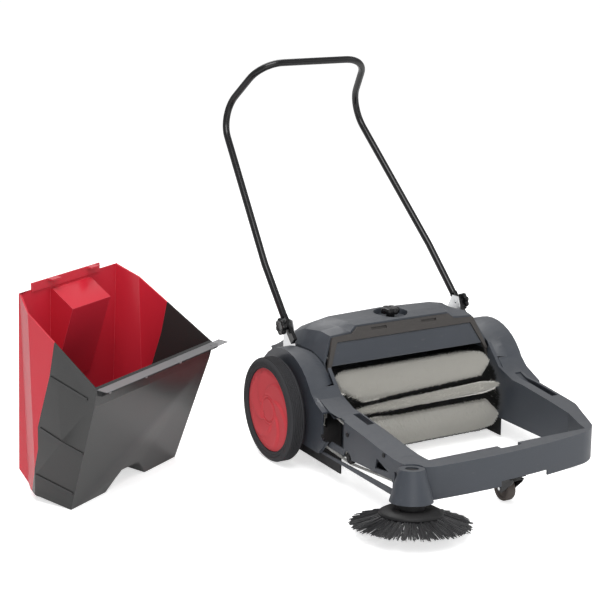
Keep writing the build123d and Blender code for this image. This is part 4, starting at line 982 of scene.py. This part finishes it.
def bladed_disc(side, outward, blades, ridge):
    """Dished disc whose face carries curved ramps, each ending in a ridge, round a flat boss."""
    node = "wheel_disc_" + side
    centre = middle(node)
    radius = extent(node).z / 2
    half = extent(node).x / 2
    boss = radius * 0.33
    segments = 360
    angles = [2 * math.pi * i / segments for i in range(segments)]
    bm = bmesh.new()

    def point(lift, r, a):
        return bm.verts.new(centre + Vector((outward * lift, r * math.cos(a), r * math.sin(a))))

    def height(r, a):
        rim = max(0.0, min(1.0, (radius - 0.004 - r) / 0.010))
        if r <= boss:
            return half - 0.0030 - (0.0026 if abs(r - boss * 0.86) < 0.0018 else 0.0)
        share = (r - boss) / (radius - boss)
        phase = ((a * outward * blades / (2 * math.pi)) + 1.25 * share) % 1.0
        ramp = phase / 0.88 if phase < 0.88 else (1.0 - phase) / 0.12
        fade = min(1.0, share / 0.12) * rim
        return half - 0.0002 - ridge + ramp * ridge * fade

    rings = [boss * share for share in (0.3, 0.6, 0.80, 0.85, 0.90, 0.97, 1.0)]
    steps = 26
    rings += [boss + (radius - 0.0005 - boss) * (i + 1) / steps for i in range(steps)]
    loops = [[bm.verts.new(centre + Vector((outward * height(0.0, 0.0), 0, 0)))]]
    for r in rings:
        loops.append([point(height(r, a), r, a) for a in angles])
    for lift, r in ((half - 0.006, radius), (-half, radius), (-half, radius * 0.3)):
        loops.append([point(lift, r, a) for a in angles])
    loops.append([bm.verts.new(centre + Vector((outward * -half, 0, 0)))])
    join_loops(bm, loops, closed=False)
    bmesh.ops.recalc_face_normals(bm, faces=bm.faces)
    return mesh_from(bm)


class SWEEPER_OT_main_brush(bpy.types.Operator):
    """Grow the white bristle bands and the stiff black rows of the main brush"""

    bl_idname = "sweeper.main_brush"
    bl_label = "Main brush"

    ROWS = (104.0, 29.4, 10.5, -76.0, -130.0, 162.0)
    SLANTS = (0.0, 0.34, 0.0, 0.0, 0.0, 0.0)

    def execute(self, context):
        settings = context.scene.sweeper_brush
        white = bristle_material("bristle_white", tuple(settings.white), (0.62, 0.60, 0.55), 0.30, 0.12, 0.62)
        black = bristle_material("bristle_black", (0.010, 0.010, 0.011), (0.05, 0.05, 0.05), 0.5, 0.2, 0.45)
        tree = bristle_band_tree(white)
        row_half = 1.9
        white_loss = 0.32
        tip_reach = 0.045
        angles = list(self.ROWS)
        order = sorted(range(len(angles)), key=lambda i: angles[i])
        white_above = {}
        white_below = {}
        drum_half = BRUSH_HALF - 0.003
        drum_r = 0.098
        outline = [(-drum_half, 0.0), (-drum_half, drum_r), (drum_half, drum_r), (drum_half, 0.0)]
        drum = turned(outline, BRUSH_AXIS, (1, 0, 0), segments=120)
        # The drum's bristle material also carries the painted glow of the bristles.
        shadow = bristle_material("bristle_shadow", (0.50, 0.49, 0.46), (0.3, 0.3, 0.28), 0.3, 0.3, 0.8)
        add_piece("bristle_roots", drum, "main_brush", [shadow])
        shared = {"Centre": tuple(BRUSH_AXIS), "Half Length": BRUSH_HALF - 0.002, "Root Radius": 0.094}
        for place_in_order, i in enumerate(order):
            j = order[(place_in_order + 1) % len(order)]
            start = angles[i] + row_half
            end = angles[j] - row_half + (360.0 if j == order[0] else 0.0)
            arc = math.radians(end - start) * BRUSH_RADIUS
            white_above[i] = end - start
            white_below[j] = end - start
            values = dict(
                shared,
                **{
                    "Start Angle": math.radians(start),
                    "End Angle": math.radians(end),
                    "Slant": 0.5 * (self.SLANTS[i] + self.SLANTS[j]),
                    "Tip Reach": tip_reach,
                    "Tip Share": 2 * white_loss,
                    "Along": int(2 * BRUSH_HALF / settings.pitch),
                    "Around": max(6, int(arc / settings.pitch)),
                    "Tip Radius": BRUSH_RADIUS - 0.0005,
                    "Ragged": 0.10,
                    "Thickness": settings.thickness,
                    "Lean": 0.14,
                    "Seed": 11 + i,
                    "Material": white,
                },
            )
            replaced = ["bristles_white"] if place_in_order == 0 else []
            grown("bristles_white_%d" % (place_in_order + 1), tree, values, "main_brush", replaced, [white])
        for i, angle in enumerate(angles):
            gain_above = white_loss * white_above[i]
            gain_below = white_loss * white_below[i]
            values = dict(
                shared,
                **{
                    "Start Angle": math.radians(angle - row_half),
                    "End Angle": math.radians(angle + row_half),
                    "Slant": self.SLANTS[i],
                    "Tip Reach": tip_reach,
                    "Tip Share": -(gain_above + gain_below) / (2 * row_half),
                    "Tip Shift": math.radians(gain_above - gain_below) / 2,
                    "Along": 230,
                    "Around": 26,
                    "Tip Radius": BRUSH_RADIUS,
                    "Ragged": 0.22,
                    "Thickness": 0.0012,
                    "Lean": 0.16,
                    "Seed": 41 + i,
                    "Material": black,
                },
            )
            replaced = ["bristles_black"] if i == 0 else []
            grown("bristles_black_%d" % (i + 1), tree, values, "main_brush", replaced, [black])
        return {"FINISHED"}


class SWEEPER_OT_side_broom(bpy.types.Operator):
    """Grow the splayed bristles of the side broom and finish its disc"""

    bl_idname = "sweeper.side_broom"
    bl_label = "Side broom"

    def execute(self, context):
        settings = context.scene.sweeper_broom
        black = bristle_material("broom_bristle", (0.009, 0.009, 0.010), (0.03, 0.03, 0.03), 0.5, 0.15, 0.33)
        tree = swept_bristle_tree(black)
        ring_z = middle("broom_ring").z
        root = BROOM_PIVOT + BROOM_UP * ((ring_z - BROOM_PIVOT.z) / BROOM_UP.z)
        turn = UP.rotation_difference(BROOM_UP).to_matrix().to_4x4()
        layers = (
            ("broom_bristles_outer", 0.062, 0.085, 0.029, 2, 0.30, ["broom_bristles"]),
            ("broom_bristles_middle", 0.052, 0.090, 0.030, 5, 0.34, []),
            ("broom_bristles_inner", 0.040, 0.080, 0.032, 9, 0.40, []),
        )
        for name, radius, reach, drop, seed, splay, replaced in layers:
            values = {
                "Tufts": settings.tufts,
                "Per Tuft": settings.per_tuft,
                "Root Radius": radius,
                "Reach": reach,
                "Drop": drop,
                "Thickness": settings.thickness,
                "Splay": splay,
                "Seed": seed,
                "Material": black,
            }
            move = Matrix.Translation(root) @ turn
            grown(name, tree, values, "side_broom", replaced, [black], move)
        moulding("broom_ring", 0.0012, matt_black(), matt_black())
        moulding("broom_hub", 0.0012, matt_black(), matt_black())
        return {"FINISHED"}


class SWEEPER_OT_handle(bpy.types.Operator):
    """Finish the push handle, its brackets and the lobed clamp knobs"""

    bl_idname = "sweeper.handle"
    bl_label = "Handle"

    def execute(self, context):
        moulding("handle_tube", 0.0008, powder_black(), powder_black(), corner=math.radians(50))
        moulding("handle_brackets", 0.0004, zinc(), zinc())
        for side, outward in (("left", 1.0), ("right", -1.0)):
            node = "handle_knob_" + side
            low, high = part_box(node)
            inner = low[0] if outward > 0 else high[0]
            origin = Vector((inner, middle(node).y, middle(node).z))
            knob = lobed_knob(origin, (outward, 0, 0), extent(node).z / 2, extent(node).x, 7, collar=0.011)
            piece = add_piece(node + "_lobed", knob, node, [gloss_black()])
            stand_for(piece, node)
        low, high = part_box("lift_knob")
        origin = Vector((middle("lift_knob").x, middle("lift_knob").y, low[2]))
        knob = lobed_knob(origin, (0, 0, 1), extent("lift_knob").x / 2, high[2] - low[2], 6, collar=0.0115)
        piece = add_piece("lift_knob_lobed", knob, "lift_knob", [gloss_black()])
        stand_for(piece, "lift_knob")
        return {"FINISHED"}


def lobed_knob(origin, axis, radius, thickness, lobes, collar):
    """Clamp knob: a collar below and a lobed head with rolled edges and a dished top."""
    head = thickness * 0.38

    def wave(angle, distance):
        if distance < head:
            return 1.0
        swing = 0.5 + 0.5 * math.cos(lobes * angle)
        return 0.80 + 0.20 * swing**0.6

    profile = [
        (0.0, 0.0),
        (0.0, collar),
        (head * 0.96, collar),
        (head, radius * 0.86),
        (head + 0.0012, radius * 0.96),
        (head + 0.0035, radius),
        (thickness - 0.0045, radius),
        (thickness - 0.0018, radius * 0.95),
        (thickness - 0.0004, radius * 0.85),
        (thickness, radius * 0.70),
        (thickness - 0.0004, radius * 0.55),
        (thickness - 0.0018, radius * 0.42),
        (thickness - 0.0022, radius * 0.2),
        (thickness - 0.0022, 0.0),
    ]
    return turned(profile, origin, axis, segments=140, wave=wave)


class SWEEPER_OT_castor(bpy.types.Operator):
    """Make the castor wheel and finish its fork"""

    bl_idname = "sweeper.castor"
    bl_label = "Castor"

    def execute(self, context):
        centre = middle("castor_wheel")
        radius = extent("castor_wheel").z / 2
        half = extent("castor_wheel").x / 2
        profile = [
            (-half, 0.0045),
            (-half, radius * 0.35),
            (-half + 0.003, radius * 0.42),
            (-half + 0.003, radius * 0.68),
            (-half, radius * 0.74),
            (-half, radius - 0.004),
            (-half + 0.0012, radius - 0.0014),
            (-half + 0.004, radius),
            (half - 0.004, radius),
            (half - 0.0012, radius - 0.0014),
            (half, radius - 0.004),
            (half, radius * 0.74),
            (half - 0.003, radius * 0.68),
            (half - 0.003, radius * 0.42),
            (half, radius * 0.35),
            (half, 0.0045),
        ]
        wheel = turned(profile, centre, (1, 0, 0), segments=72)
        piece = add_piece("castor_wheel_turned", wheel, "castor_wheel", [worn_rubber()])
        stand_for(piece, "castor_wheel")
        moulding("castor_fork", 0.0006, powder_black(), powder_black())
        moulding("castor_plate", 0.0008, matt_black(), matt_black())
        return {"FINISHED"}


class SWEEPER_OT_hopper(bpy.types.Operator):
    """Round and finish the hopper halves, the flap and its clamp bar"""

    bl_idname = "sweeper.hopper"
    bl_label = "Hopper"

    def execute(self, context):
        moulding("hopper_front", 0.0022, hopper_black(), hopper_black_highlight_edge())
        moulding("hopper_back", 0.0022, hopper_red(), hopper_red_highlight_edge())
        moulding("hopper_flap", 0.0005, film_grey(), film_grey())
        moulding("flap_bar", 0.0008, matt_black(), matt_black())
        moulding("roller_brackets", 0.0005, matt_black(), matt_black())
        moulding("hopper_rollers", 0.0010, matt_black(), matt_black())
        finish_node("flap_screws", zinc())
        return {"FINISHED"}


class SWEEPER_OT_fasteners(bpy.types.Operator):
    """Finish the screws on the chassis"""

    bl_idname = "sweeper.fasteners"
    bl_label = "Fasteners"

    def execute(self, context):
        finish_node("frame_screws", matt_black())
        return {"FINISHED"}


class SWEEPER_PT_panel(bpy.types.Panel):
    """Sidebar panel that lists the sweeper's pieces"""

    bl_idname = "SWEEPER_PT_panel"
    bl_label = "Floor sweeper"
    bl_space_type = "VIEW_3D"
    bl_region_type = "UI"
    bl_category = "Sweeper"

    def draw(self, context):
        for operator in OPERATORS:
            self.layout.operator(operator.bl_idname)
        for name in SETTINGS:
            box = self.layout.box()
            group = getattr(context.scene, name)
            for label in group.__annotations__:
                box.prop(group, label)


SETTINGS = {
    "sweeper_shell": SweeperShellSettings,
    "sweeper_wheels": SweeperWheelSettings,
    "sweeper_brush": SweeperBrushSettings,
    "sweeper_broom": SweeperBroomSettings,
    "sweeper_hopper": SweeperHopperSettings,
    "sweeper_stage": SweeperStageSettings,
}
OPERATORS = (
    SWEEPER_OT_stage,
    SWEEPER_OT_chassis,
    SWEEPER_OT_drive,
    SWEEPER_OT_wheels,
    SWEEPER_OT_main_brush,
    SWEEPER_OT_side_broom,
    SWEEPER_OT_handle,
    SWEEPER_OT_castor,
    SWEEPER_OT_hopper,
    SWEEPER_OT_fasteners,
)


def register():
    for name, group in SETTINGS.items():
        bpy.utils.register_class(group)
        setattr(bpy.types.Scene, name, PointerProperty(type=group))
    for kind in (*OPERATORS, SWEEPER_PT_panel):
        bpy.utils.register_class(kind)


def unregister():
    for kind in reversed((*OPERATORS, SWEEPER_PT_panel)):
        bpy.utils.unregister_class(kind)
    for name, group in SETTINGS.items():
        delattr(bpy.types.Scene, name)
        bpy.utils.unregister_class(group)


def main():
    register()
    for operator in OPERATORS:
        space, name = operator.bl_idname.split(".")
        getattr(getattr(bpy.ops, space), name)()


if __name__ == "__main__":
    main()
